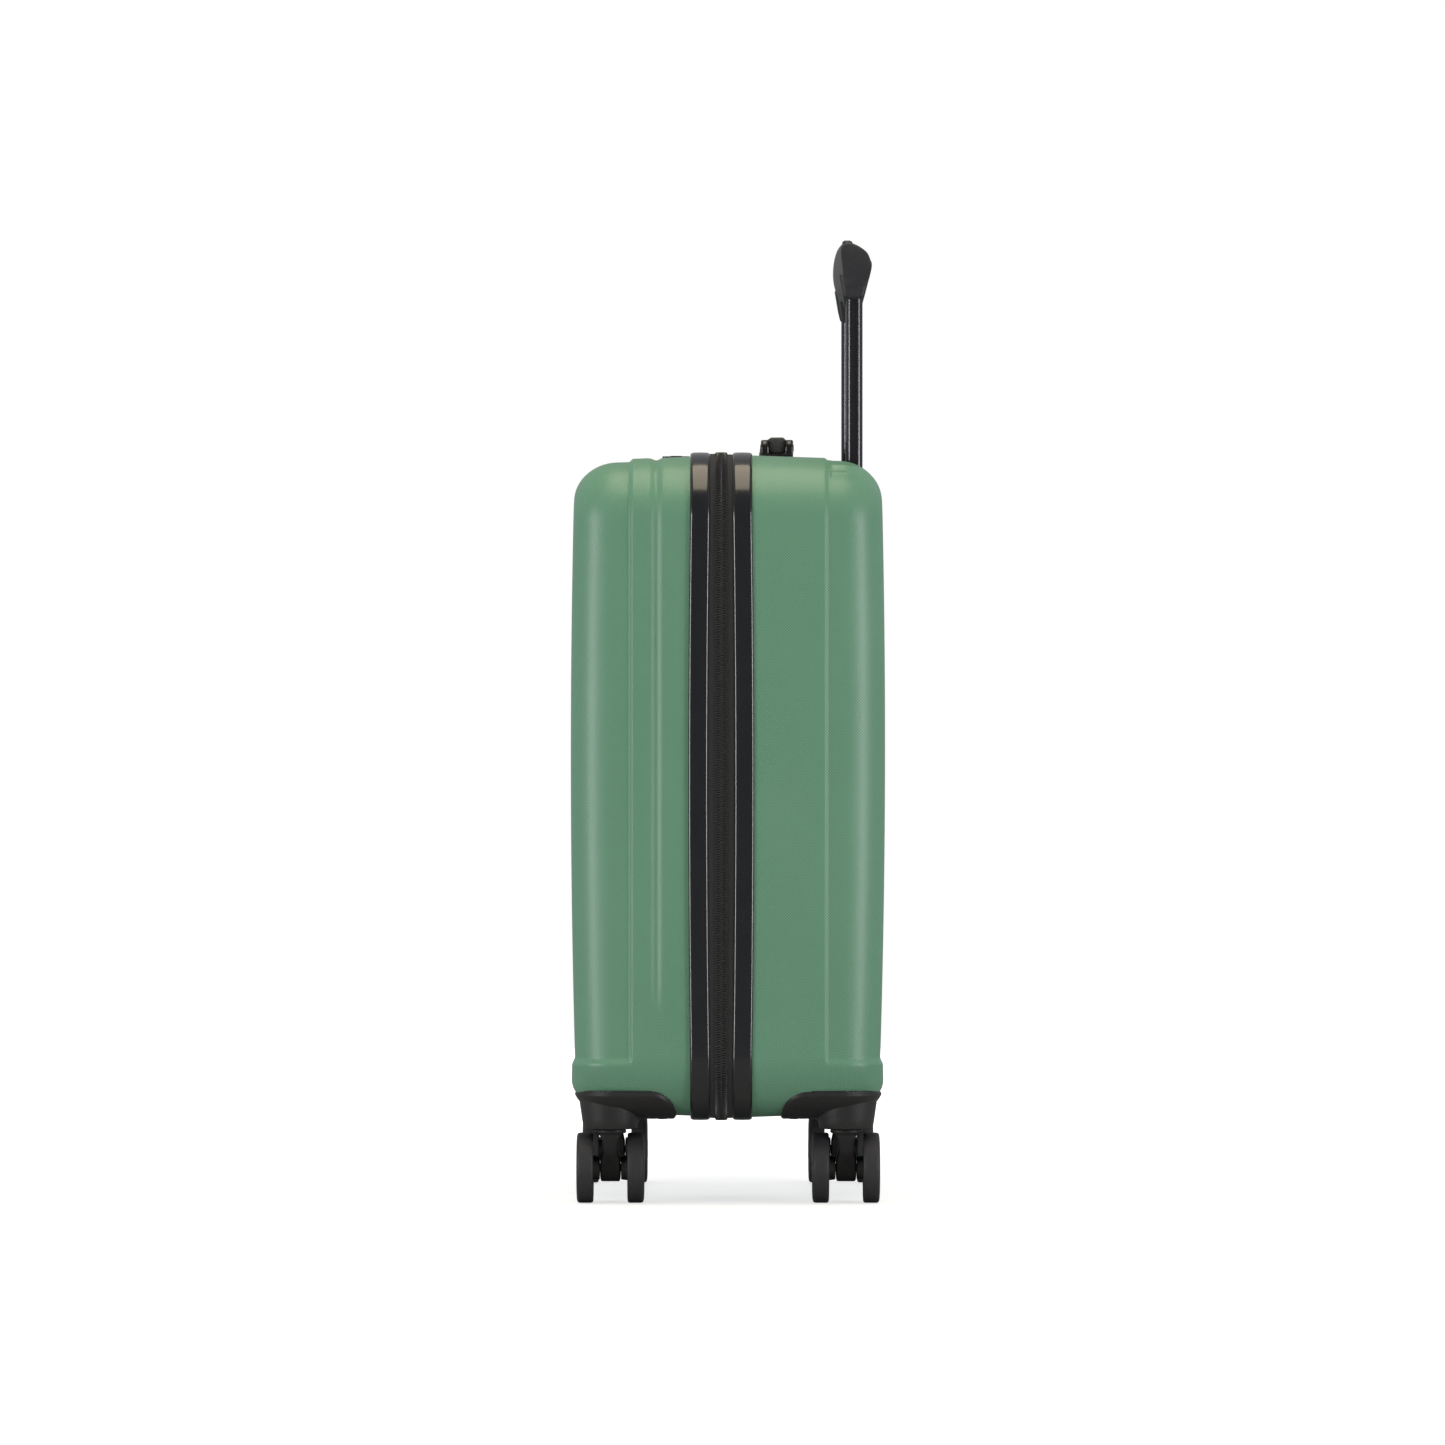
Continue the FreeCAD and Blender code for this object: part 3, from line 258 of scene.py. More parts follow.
DRAFT = 0.034  # the sides draw in by this much for each millimetre of depth
STEP = 70.0
STEP_DEEP = {"front": 2.3, "rear": 1.6}
FLUTES = (-104.0, -52.0, 0.0, 52.0, 104.0)
FLUTE_WIDE = 4.2
FLUTE_DEEP = 1.3
# Two lips beside each of the handle's tubes: where each starts, its crest, where it ends, its rise.
LIPS = ((519.5, 525.5, 526.8, 2.0), (526.8, 530.5, 531.8, 1.8))


def on_case(x, depth, z, half):
    """The plain rounded case under a point of the box round it: the place, and the way out."""
    core_x = min(SIDE - CORNER, max(CORNER - SIDE, x))
    core_z = min(TOP - CORNER, max(BOTTOM + CORNER, z))
    core_y = min(FACE[half] - EDGE, depth)
    run = math.hypot(x - core_x, z - core_z)
    share = min(1.0, (CORNER - EDGE) / run) if run else 1.0
    core_x += (x - core_x) * share
    core_z += (z - core_z) * share
    out = [x - core_x, depth - core_y, z - core_z]
    length = math.sqrt(sum(part * part for part in out))
    out = [part / length for part in out]
    return [core_x + EDGE * out[0], core_y + EDGE * out[1], core_z + EDGE * out[2]], out


def shell_relief(half, place, out):
    """How far the moulded skin stands out from the plain rounded case."""
    x, depth, z = place
    above = ease(BUMPER_TOP - 2.5, BUMPER_TOP + 3.5, z)
    if half == "front":
        side = -0.7 - DRAFT * (depth - 26.6) - STEP_DEEP[half] * ease(STEP - 2, STEP + 1.2, depth) * above
        side -= 1.8 * math.exp(-(((depth - 51.5) / 3.0) ** 2)) * ease(132, 152, z)
        face = above * (0.2 - 2.6 * ((z - 320) / 200) ** 2) - (1 - above) * 0.6
    else:
        side = 0.3 - DRAFT * (depth - 15.4) - STEP_DEEP[half] * ease(STEP - 1.3, STEP + 1.7, depth) * above
        face = above * (-0.2 - 3.0 * ((z - 330) / 210) ** 2) - (1 - above) * 1.6
        by_tubes = ease(72.5, 74.5, depth) * (1 - ease(86, 99, depth)) * ease(150, 156, abs(x))
        for start, crest, end, rise in LIPS:
            side += ease(start, crest, z) * (1 - ease(crest, end, z)) * rise * by_tubes
    bead_z, bead_wide, bead_rise = BEAD
    face += bead_rise * math.exp(-(((z - bead_z) / bead_wide) ** 2))
    for centre in FLUTES:
        groove = math.exp(-(((x - centre) / FLUTE_WIDE) ** 2)) * ease(130, 165, z) * (1 - ease(450, 490, z))
        face -= FLUTE_DEEP * groove
    lands = [(0, lock_high.x + 1, -lock_high.y - 1, -lock_low.y + 1)] if half == "front" else []
    if half == "rear":
        lands.append((mount_low.x - 1, mount_high.x + 1, mount_low.y - 1, mount_high.y + 1))
    for x_low, x_high, y_low, y_high in lands:
        inside = ease(x_low - 4, x_low, abs(x)) if x_low else 1.0
        inside *= (1 - ease(x_high, x_high + 4, abs(x))) * ease(y_low - 3, y_low, depth)
        side *= 1 - inside * (1 - ease(y_high, y_high + 3, depth)) * ease(500, 530, z)
    share = out[1] ** 2
    return side * (1 - share) + face * share


def corner_lines(core, length, count):
    """Lines of the box's grid that divide a rounded corner into equal turns."""
    return [core + length * math.tan(math.radians(45 * number / count)) for number in range(count + 1)]


def box_skin(across, deep, up):
    """Quads over the sides of a box, open at the start of deep: their corners, and the faces."""
    number = {}

    def at(*corner):
        return number.setdefault(corner, len(number))

    faces = []
    for d, e in zip(deep, deep[1:]):
        for a, b in zip(across, across[1:]):
            ends = (up[0], up[-1])
            faces += [(at(a, d, z), at(b, d, z), at(b, e, z), at(a, e, z)) for z in ends]
        for a, b in zip(up, up[1:]):
            ends = (across[0], across[-1])
            faces += [(at(x, d, a), at(x, d, b), at(x, e, b), at(x, e, a)) for x in ends]
    for a, b in zip(across, across[1:]):
        for c, d in zip(up, up[1:]):
            faces.append(tuple(at(x, deep[-1], z) for x, z in ((a, c), (b, c), (b, d), (a, d))))
    return list(number), faces


CORNER_TURNS = 14
ON_BOX = 0.01  # a grid point this near to a side of the box lies on it
corner_x = corner_lines(SIDE - CORNER, CORNER, CORNER_TURNS)
corner_up = corner_lines(TOP - CORNER, CORNER, CORNER_TURNS)
corner_down = [TOP + BOTTOM - line for line in corner_up]
lock_hole = (lock_high.x - 1.6, -lock_high.y + 1.6, -lock_low.y - 1.6)
# The handle well's opening runs from the top over the rounded edge. WELL_FOOT is the height where it
# ends on the back of the box, before the box is drawn on to the case.
well_turn = math.acos((bezel_high.y - FACE["rear"] + EDGE) / EDGE)
WELL_FOOT = TOP - EDGE + EDGE * math.tan(well_turn)
for half in ("front", "rear"):
    holes_x = [bezel_high.x] if half == "rear" else [lock_hole[0]]
    middle = merged(holes_x, spread(0, SIDE - CORNER - 3, 6.5))
    x_lines = merged(holes_x, [0], corner_x, middle, gap=1.2)
    x_lines = sorted({*x_lines, *[-x for x in x_lines]})
    bumper_lines = spread(BUMPER_TOP - 5, BUMPER_TOP + 6, 1.1)
    well_lines = [WELL_FOOT] if half == "rear" else []
    z_lines = merged(
        well_lines,
        [BOTTOM, TOP],
        bumper_lines,
        corner_down,
        corner_up,
        spread(112, 488, 9),
        gap=0.7,
    )
    holes_y = [bezel_low.y, bezel_high.y] if half == "rear" else list(lock_hole[1:])
    y_lines = merged(
        [RIM[half], FACE[half]],
        holes_y,
        spread(STEP - 3, STEP + 4, 0.7),
        spread(43, 60, 1.3),
        corner_lines(FACE[half] - EDGE, EDGE, CORNER_TURNS),
        spread(RIM[half], FACE[half] - EDGE, 4),
    )
    corners, quads = box_skin(x_lines, y_lines, z_lines)
    points = []
    for x, depth, z in corners:
        place, out = on_case(x, depth, z, half)
        lift = shell_relief(half, place, out)
        x, depth, z = (part + lift * way for part, way in zip(place, out))
        points.append((x, depth * SIGN[half], z))

    def opened(quad):
        middle_x = sum(corners[n][0] for n in quad) / 4
        middle_y = sum(corners[n][1] for n in quad) / 4
        on_top = all(corners[n][2] > TOP - ON_BOX for n in quad)
        if half == "rear":
            on_back = all(corners[n][1] > FACE[half] - ON_BOX for n in quad)
            over_foot = all(corners[n][2] > WELL_FOOT - ON_BOX for n in quad)
            in_well = on_back and over_foot or on_top and middle_y > bezel_low.y
            return in_well and abs(middle_x) < bezel_high.x
        return on_top and abs(middle_x) < lock_hole[0] and lock_hole[1] < middle_y < lock_hole[2]

    quads = [quad for quad in quads if not opened(quad)]
    body = half + "_case"
    nodes = [half + "_shell"]
    shell = piece(half + "_moulded_shell", points, quads, green, body, "shell_green", nodes)
    thick = shell.modifiers.new("wall", "SOLIDIFY")
    thick.thickness = SHELL_WALL * MM
    thick.offset = -1

# ------------------------------------------------------------------ the trim bands
# A glossy black extruded band is stretched over the rim of each shell. Its edges are rounded over, it
# stands 2 mm above the shell, and on the upright sides it bows away a little from the zip.


def straight_and_round():
    """The rim's loop from the middle of the hinge side, down and round: its lengths in order."""
    upright, level, arc = TOP - BOTTOM - 2 * CORNER, 2 * (SIDE - CORNER), math.pi / 2 * CORNER
    return [upright / 2, arc, level, arc, upright, arc, level, arc, upright / 2]


LOOP = straight_and_round()
LOOP_LENGTH = sum(LOOP)
MIDDLE = (TOP + BOTTOM) / 2


def along(distance):
    """The point of the rim's loop at a distance, and the way out there: x, z, out x, out z."""
    heading, x, z = -90.0, -SIDE, MIDDLE
    distance %= LOOP_LENGTH
    for number, length in enumerate(LOOP):
        part = min(distance, length)
        angle = math.radians(heading)
        if number % 2 == 0:
            x, z = x + part * math.cos(angle), z + part * math.sin(angle)
        else:
            turn = part / CORNER
            centre_x, centre_z = x - CORNER * math.sin(angle), z + CORNER * math.cos(angle)
            angle += turn
            x, z = centre_x + CORNER * math.sin(angle), centre_z - CORNER * math.cos(angle)
            heading = math.degrees(angle)
        distance -= part
        if distance <= 0:
            break
    angle = math.radians(heading)
    return x, z, math.sin(angle), -math.cos(angle)


def stations(start, end, coarse=10.0, fine=2.0):
    """Distances along the loop from start to end, closer together where it bends."""
    found, before = [], 0.0
    for number, length in enumerate(LOOP):
        step = fine if number % 2 else coarse
        found += spread(before, before + length, step)[:-1]
        before += length
    return merged([start, end], [value for value in found if start < value < end], gap=0.4)


def skin(rings, round_ring=True, round_path=False, ends=True):
    """Faces over rings of points, one ring after another; ends closes the first and the last."""
    size, faces = len(rings[0]), []
    last = len(rings) if round_path else len(rings) - 1
    for first in range(last):
        a, b = first * size, (first + 1) % len(rings) * size
        for number in range(size if round_ring else size - 1):
            other = (number + 1) % size
            faces.append((a + number, a + other, b + other, b + number))
    if ends and not round_path:
        faces += [tuple(range(size)), tuple(range((len(rings) - 1) * size, len(rings) * size))]
    return [point for ring in rings for point in ring], faces


def bow(z, out_x):
    """How far a band on an upright side bows away from the zip."""
    rise = (z - MIDDLE) / (TOP - BOTTOM - 2 * CORNER) * 2
    return 1.4 * max(0.0, 1 - rise * rise) * abs(out_x)


def rim_sweep(half, distances, profile, bowed=1.0, closed=False):
    """A profile swept round the rim. Its points are (distance from the parting plane, height)."""
    rings = []
    for distance in distances:
        x, z, out_x, out_z = along(distance)
        shift = bow(z, out_x) * bowed
        rings.append(
            [
                (x + out_x * high, PARTING + SIGN[half] * (from_zip + shift), z + out_z * high)
                for from_zip, high in profile
            ]
        )
    return skin(rings, round_path=closed)


band_black = Finish("glossy_trim_band", roughness=0.2, ior=1.5, coat_weight=0.5, coat_roughness=0.1)
drawn = band_black.noise(60.0, 3.0)
grain = band_black.noise(1600.0, 2.0)
band_black.shades(drawn, paint(25, 27, 30), paint(33, 35, 39))
band_black.gloss(drawn * 0.6 + grain * 0.4, 0.15, 0.27)
band_black.relief(grain * 0.5 + drawn * 0.5, 0.035)

BAND_TOP = 2.3
loop = stations(0, LOOP_LENGTH)[:-1]
bands = {}
for half in ("front", "rear"):
    trim_low, trim_high = box_mm(half + "_trim")
    near, far = sorted(abs(y - PARTING) for y in (trim_low.y, trim_high.y))
    edge = [(0.0, -3.6), (0.0, 0.35), (0.12, 0.95), (0.5, 1.55), (1.1, 1.98), (1.9, 2.22), (2.8, BAND_TOP)]
    crown = [((near + far) / 2, BAND_TOP + 0.12)]
    inner = [(near + offset, high) for offset, high in edge]
    outer = [(far - offset, high) for offset, high in reversed(edge)]
    points, quads = rim_sweep(half, loop, inner + crown + outer, closed=True)
    bands[half] = (near, far)
    piece(half + "_trim_band", points, quads, band_black, half + "_case", "trim_black", [half + "_trim"], 50)

# ------------------------------------------------------------------ the zip
# A nylon coil zip runs from the foot of the hinge side, under the case, up and over it. Each half has
# a woven tape sewn under its band, and a coil of monofilament whose heads interlock in the middle.

tape_black = Finish("woven_zip_tape", roughness=0.85, sheen_weight=0.25, sheen_roughness=0.5)
across, deep, up = tape_black.places()
ribs = ((across + up) * 5.2).wave()
picks = (deep * 7.5).wave()
tape_black.shades(ribs * picks * 0.5 + 0.5, paint(22, 23, 24), paint(46, 47, 48))
tape_black.relief(ribs * picks * 0.5 + 0.5, 0.12)

coil_black = Finish("nylon_zip_coil", roughness=0.32, ior=1.52)
coil_black.shades(coil_black.noise(900.0), paint(30, 31, 32), paint(62, 63, 64))
coil_black.relief(coil_black.noise(3000.0), 0.02)

zip_low, zip_high = box_mm("hinge_strip")
ZIP_START = MIDDLE - (zip_low.z - 7)
ZIP_END = LOOP_LENGTH - (zip_high.z + 7 - MIDDLE)
ZIP_LENGTH = ZIP_END - ZIP_START
TAPE_WIDE = 10.4
TOOTH_PITCH = 1.76
COIL_WIDE = 4.45
COIL_HIGH = 1.7
TAPE_LEVEL = 0.95
TOOTH_LEAN = 0.9
TOOTH_HALF = 0.62
STITCH_PITCH = 2.6


def tooth(distance, half):
    """One turn of a coil: a rounded bar from just over the parting plane out to the coil's back."""
    rings = []
    shape = [(-0.55, 0.62, 0.8), (-0.2, 0.95, 1.0), (COIL_WIDE * 0.5, 1.0, 1.0)]
    shape += [(COIL_WIDE * 0.88, 0.86, 0.9), (COIL_WIDE, 0.45, 0.6)]
    for from_zip, lift, wide in shape:
        x, z, out_x, out_z = along(distance + TOOTH_LEAN * (1 - from_zip / COIL_WIDE))
        way_x, way_z = -out_z, out_x
        ring = []
        for side, rise in ((-1, 0.0), (-0.8, 0.72), (0, 1.0), (0.8, 0.72), (1, 0.0)):
            level = TAPE_LEVEL - 0.1 + rise * (COIL_HIGH * lift)
            step = side * TOOTH_HALF * wide
            y = PARTING + SIGN[half] * from_zip
            ring.append((x + out_x * level + way_x * step, y, z + out_z * level + way_z * step))
        rings.append(ring)
    return skin(rings)


def gather(parts):
    """Several meshes as one."""
    points, faces = [], []
    for some_points, some_faces in parts:
        start = len(points)
        points += some_points
        faces += [tuple(number + start for number in face) for face in some_faces]
    return points, faces


for half in ("front", "rear"):
    near = bands[half][0]
    tape_edge = 0.35 + TAPE_WIDE
    tape_form = [(0.35, TAPE_LEVEL - 0.5), (0.35, TAPE_LEVEL), (5.0, TAPE_LEVEL + 0.05)]
    tape_form += [(near - 0.6, TAPE_LEVEL - 0.05), (tape_edge, TAPE_LEVEL - 0.2)]
    tape_form += [(tape_edge, TAPE_LEVEL - 0.75), (5.0, TAPE_LEVEL - 0.5)]
    points, quads = rim_sweep(half, stations(ZIP_START, ZIP_END), tape_form, bowed=0.0)
    body = half + "_case"
    tape = piece(half + "_zip_tape", points, quads, tape_black, body, "zip_black", [half + "_zip"])
    ZIP_LENGTH * MM
    half + "_trim_band"
    offset = 0 if half == "front" else TOOTH_PITCH / 2
    teeth = [
        tooth(ZIP_START + 2 + offset + number * TOOTH_PITCH, half)
        for number in range(int((ZIP_LENGTH - 5) / TOOTH_PITCH))
    ]
    piece(half + "_zip_coil", *gather(teeth), coil_black, body, "zip_black", [half + "_zip"], crease=60)
    stitches = []
    for number in range(int(ZIP_LENGTH / STITCH_PITCH)):
        rings = []
        for part, wide, high in ((-1, 0.1, 0.02), (-0.6, 0.22, 0.2), (0.6, 0.22, 0.2), (1, 0.1, 0.02)):
            x, z, out_x, out_z = along(ZIP_START + 1.5 + number * STITCH_PITCH + part)
            level = TAPE_LEVEL + 0.02
            y = PARTING + SIGN[half] * (COIL_WIDE + 1.3)
            profile = ((-wide, 0.0), (0.0, high), (wide, 0.0))
            rings.append([(x + out_x * (level + h), y + w, z + out_z * (level + h)) for w, h in profile])
        stitches.append(skin(rings))
    piece(half + "_zip_stitches", *gather(stitches), tape_black, body, "zip_black", crease=60)

# ------------------------------------------------------------------ the hinge strip
# Where the zip ends, a doubled strip of nylon webbing joins the halves and is the lid's hinge. It is
# sewn under both bands.

nylon = Finish("hinge_webbing", roughness=0.8, sheen_weight=0.3, sheen_roughness=0.45)
_, deep, up = nylon.places()
ribs = (up * 3.1).wave()
cords = (deep * 2.4 + ribs * 0.7).wave()
nylon.shades(cords * 0.5 + 0.5, paint(20, 21, 22), paint(44, 45, 46))
nylon.relief(cords * 0.35 + ribs * 0.15 + 0.5, 0.22)

strip_front = PARTING - bands["front"][0] - 1.2
strip_rear = PARTING + bands["rear"][0] + 1.2
strip_long = zip_high.z - zip_low.z
rings = []
for y in spread(strip_front, strip_rear, 0.8):
    pinch = 0.25 * math.cos((y - PARTING) / 1.9)
    ring = [(-SIDE - 0.55 - pinch * 0.5, y, z) for z in spread(zip_low.z, zip_high.z, 4)]
    ring += [(-SIDE + 0.35 - pinch * 0.5, y, z) for z in spread(zip_high.z, zip_low.z, 4)]
    rings.append(ring)
strip = piece("hinge_webbing_strip", *skin(rings), nylon, None, "zip_black", ["hinge_strip"], crease=60)
flat_size = ((strip_rear - strip_front) * MM, strip_long * MM)
(strip_rear - 1.5) * MM
(strip_front + 1.5) * MM
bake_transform(strip)

# ------------------------------------------------------------------ the corner guards
# Injection-moulded black nylon guards cap the four bottom corners, screwed on through the shell. Each
# has a round cup under it that carries a caster.

guard_black = Finish("moulded_guard", roughness=0.5, ior=1.47)
pores = guard_black.noise(2600.0, 3.0)
wear = guard_black.noise(22.0, 5.0, roughness=0.7)
guard_black.shades(wear, paint(33, 33, 34), paint(50, 50, 51))
guard_black.gloss(pores * 0.5 + wear * 0.5, 0.38, 0.6)
guard_black.relief(pores, 0.06)

GUARD_SKIN = 1.5
GUARD_ROUND = 18.0
CAP_SHORT = 2.2  # the cap's edge lies this far below the top of the guard's box
TUCK_WIDE, TUCK_DEEP = 1.5, 1.2  # how far the skin goes on past its edge, and how deep it dives there
caster_y = (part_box("rear_right_axle")[0].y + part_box("rear_right_axle")[1].y) / 2 / MM
CASTER = (147.0, caster_y)
CUP_BOTTOM = 53.8
CUP_RADIUS = 19.2
CUP_TAPER = 0.145
CUP_STEPS = 9


def rounded_least(one, other, radius):
    """The smaller of two distances, rounded off where both are small."""
    if one < radius and other < radius:
        return radius - math.hypot(radius - one, radius - other)
    return min(one, other)


def guard_cap(side, end):
    """The cap's skin: it follows the plain case and dives under the shell past its own edge."""
    low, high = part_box(f"{end}_{side}_guard")
    inner_x = min(abs(low.x), abs(high.x)) / MM
    inner_y = min(abs(low.y), abs(high.y)) / MM
    top = max(low.z, high.z) / MM
    grid = merged([SIDE], spread(inner_x - 2, SIDE, 1.1), gap=0.4)
    deep = merged([FACE[end]], spread(inner_y - 2, FACE[end], 1.1), gap=0.4)
    up = spread(BOTTOM, top + 8, 1.1)
    corners, quads = box_skin(grid, deep, up)
    points, inside = [], []
    for x, depth, z in corners:
        place, out = on_case(x, depth, z, end)
        reach = rounded_least(top - CAP_SHORT - place[2], place[1] - inner_y, GUARD_ROUND)
        reach = rounded_least(reach, place[0] - inner_x, GUARD_ROUND)
        rise = max(0.0, 1 - max(0.0, reach) / GUARD_SKIN)
        lift = GUARD_SKIN * math.sqrt(1 - rise * rise) if reach > 0 else max(-TUCK_DEEP, reach * 2)
        lift += max(0.0, shell_relief(end, place, out)) * (1 - out[2] ** 2)
        inside.append(reach > -TUCK_WIDE)
        x, depth, z = (part + lift * way for part, way in zip(place, out))
        points.append((x * SIGN[side], depth * SIGN[end], z))
    quads = [quad for quad in quads if all(inside[n] for n in quad)]
    quads = [q for q in quads if not all(corners[n][2] == up[-1] for n in q)]
    used = sorted({n for quad in quads for n in quad})
    number = {old: new for new, old in enumerate(used)}
    return [points[n] for n in used], [tuple(number[n] for n in quad) for quad in quads]


def under_case(x, y, end):
    """The height of the plain case's underside at a place near a corner."""
    highest = BOTTOM + 60
    for z in spread(BOTTOM, highest, 0.5):
        core_x = min(SIDE - CORNER, abs(x))
        core_z = max(BOTTOM + CORNER, z)
        core_y = min(FACE[end] - EDGE, abs(y))
        run = math.hypot(abs(x) - core_x, z - core_z)
        share = min(1.0, (CORNER - EDGE) / run) if run else 1.0
        gap_x, gap_z = (abs(x) - core_x) * (1 - share), (z - core_z) * (1 - share)
        if math.sqrt(gap_x**2 + gap_z**2 + (abs(y) - core_y) ** 2) <= EDGE:
            return z
    return highest


def caster_cup(side, end):
    """The cup: a tapered wall with a rounded lip, filleted into the cap above."""
    centre_x, centre_y = CASTER[0] * SIGN[side], CASTER[1] * SIGN[end]
    lip = [(12.5, 0.9), (13.0, 0.0), (18.2, 0.0), (18.8, 0.15), (CUP_RADIUS, 0.7)]
    around = 72
    rings = [[] for _ in range(len(lip) + CUP_STEPS)]
    for number in range(around):
        angle = 2 * math.pi * number / around
        cos, sin = math.cos(angle), math.sin(angle)
        inward = max(0.0, -(cos * SIGN[side] + sin * SIGN[end]) / math.sqrt(2))
        flare = 1.2 + 5.0 * inward**0.6
        wall = [(radius, CUP_BOTTOM + rise) for radius, rise in lip]
        reach = CUP_RADIUS + flare
        for _ in range(3):
            meet = under_case(centre_x + reach * cos, centre_y + reach * sin, end) - GUARD_SKIN
            reach = CUP_RADIUS + CUP_TAPER * (meet - CUP_BOTTOM) + flare
        start = meet - flare
        for part in range(CUP_STEPS):
            turn = math.radians(90 * max(0, part - 2) / 6)
            foot = CUP_BOTTOM + 0.7 + (start - CUP_BOTTOM - 0.7) * min(1.0, (part + 1) / 3)
            radius = CUP_RADIUS + CUP_TAPER * (foot - CUP_BOTTOM) + flare * (1 - math.cos(turn))
            wall.append((radius, foot + (flare + 0.4) * math.sin(turn)))
        for ring, (radius, height) in zip(rings, wall):
            ring.append((centre_x + radius * cos, centre_y + radius * sin, height))
    return skin(rings, ends=False)


ENDS = [(side, end) for end in ("rear", "front") for side in ("right", "left")]
for side, end in ENDS:
    node = f"{end}_{side}_guard"
    body = end + "_case"
    piece(node + "_cap", *guard_cap(side, end), guard_black, body, "guard_black", [node], crease=60)
    piece(node + "_cup", *caster_cup(side, end), guard_black, body, "guard_black", [node], crease=42)

# ------------------------------------------------------------------ the casters
# Twin-wheel swivel casters. A glass-filled nylon fork turns under each cup on a steel stem; its web
# stands between two wheels, each a polyurethane tyre moulded on a spoked hub, on one axle.

fork_black = Finish("glass_filled_fork", roughness=0.48, ior=1.5)
flow = fork_black.noise(90.0, 4.0, stretch=(1, 1, 0.35))
fork_black.shades(flow, paint(27, 27, 28), paint(45, 45, 46))
fork_black.gloss(flow, 0.36, 0.58)
fork_black.relief(fork_black.noise(2200.0, 3.0), 0.06)

tyre_grey = Finish("polyurethane_tyre", roughness=0.55, ior=1.48)
rubbed = tyre_grey.noise(70.0, 5.0, roughness=0.7)
tyre_grey.shades(rubbed, paint(45, 45, 48), paint(60, 60, 63))
tyre_grey.gloss(rubbed, 0.45, 0.68)
tyre_grey.relief(tyre_grey.noise(1400.0, 4.0), 0.09)

hub_black = Finish("moulded_hub", roughness=0.35, ior=1.5, coat_weight=0.2, coat_roughness=0.25)
hub_black.shades(hub_black.noise(120.0, 3.0), paint(26, 26, 28), paint(42, 42, 44))
hub_black.relief(hub_black.noise(1900.0, 2.0), 0.03)

steel = Finish("zinc_plated_steel", metallic=1.0, roughness=0.3)
plating = steel.noise(800.0, 4.0)
steel.shades(plating, paint(150, 151, 154), paint(186, 187, 190))
steel.gloss(plating, 0.22, 0.42)

TYRE_FORM = [(12.5, 17.0), (12.2, 22.6), (12.3, 24.0), (12.9, 24.95), (14.0, 25.25), (17.5, 25.25)]
TYRE_FORM += [(21.6, 25.25), (22.9, 25.0), (23.7, 24.2), (24.1, 22.4), (24.3, 18.9), (24.0, 17.2)]
HUB_FORM = [(7.6, 3.1), (7.6, 8.0), (7.9, 8.6), (12.6, 9.2), (13.4, 10.2), (13.6, 11.5), (13.6, 16.0)]
HUB_FORM += [(13.0, 17.2), (12.9, 17.9), (23.3, 17.9), (23.9, 17.3), (24.15, 16.4), (24.2, 15.8)]
HUB_FORM += [(24.2, 15.2), (24.25, 14.2), (24.3, 12.4), (24.3, 10.4), (24.35, 9.0), (24.4, 8.2), (24.4, 7.6)]
HUB_FORM += [(24.4, 6.9), (24.5, 6.3), (24.5, 4.2), (24.1, 3.7), (24.1, 0.4)]
SPOKES = 5
POCKET = (7.9, 15.6, 3.4)


def turned(form, centre, sign, around, pockets=False):
    """A profile of (distance from the fork's centre, radius) turned about the axle."""
    rings = []
    for number in range(around):
        angle = 2 * math.pi * number / around
        share = abs((number / around * SPOKES) % 1 - 0.5)
        ring = []
        for out, radius in form:
            sink = 0.0
            if pockets and out > 20:
                edge = ease(0, 0.7, radius - POCKET[0]) * ease(0, 0.7, POCKET[1] - radius)
                sink = POCKET[2] * edge * (1 - ease(0.27, 0.34, share))
            x, z = radius * math.cos(angle), radius * math.sin(angle)
            ring.append((centre.x + x, centre.y + sign * (out - sink), centre.z + z))
        rings.append(ring)
    return rings


def round_rect(half_a, half_b, radius, steps=5):
    """Points of a rounded rectangle, as pairs about its centre."""
    radius = min(radius, half_a - 0.01, half_b - 0.01)
    found = []
    for quarter, (sign_a, sign_b) in enumerate(((1, 1), (-1, 1), (-1, -1), (1, -1))):
        for step in range(steps + 1):
            angle = math.radians(90 * (quarter + step / steps))
            a = sign_a * (half_a - radius) + radius * math.cos(angle)
            found.append((a, sign_b * (half_b - radius) + radius * math.sin(angle)))
    return found


FORK_LEVELS = [
    (53.25, -10.8, 10.8, 10.8, 10.7),
    (52.9, -11.4, 11.4, 11.4, 11.3),
    (51.3, -11.5, 11.5, 11.5, 11.4),
    (50.7, -11.2, 10.9, 10.8, 10.5),
    (50.2, -12.2, 9.4, 8.6, 6.0),
    (48.6, -13.6, 8.6, 7.1, 3.0),
    (45.5, -15.6, 7.4, 6.0, 2.2),
    (42.0, -17.6, 5.6, 5.6, 1.8),
    (38.0, -19.4, 3.2, 5.8, 1.8),
    (34.0, -20.8, 0.6, 6.7, 1.8),
    (31.0, -21.5, -1.4, 7.3, 1.6),
    (25.2, -21.8, -2.2, 7.4, 1.6),
    (20.5, -20.6, -3.4, 7.35, 1.6),
    (17.6, -18.2, -5.8, 7.2, 1.6),
    (16.1, -15.8, -8.2, 6.8, 1.4),
    (15.5, -13.8, -10.2, 6.0, 1.0),
]
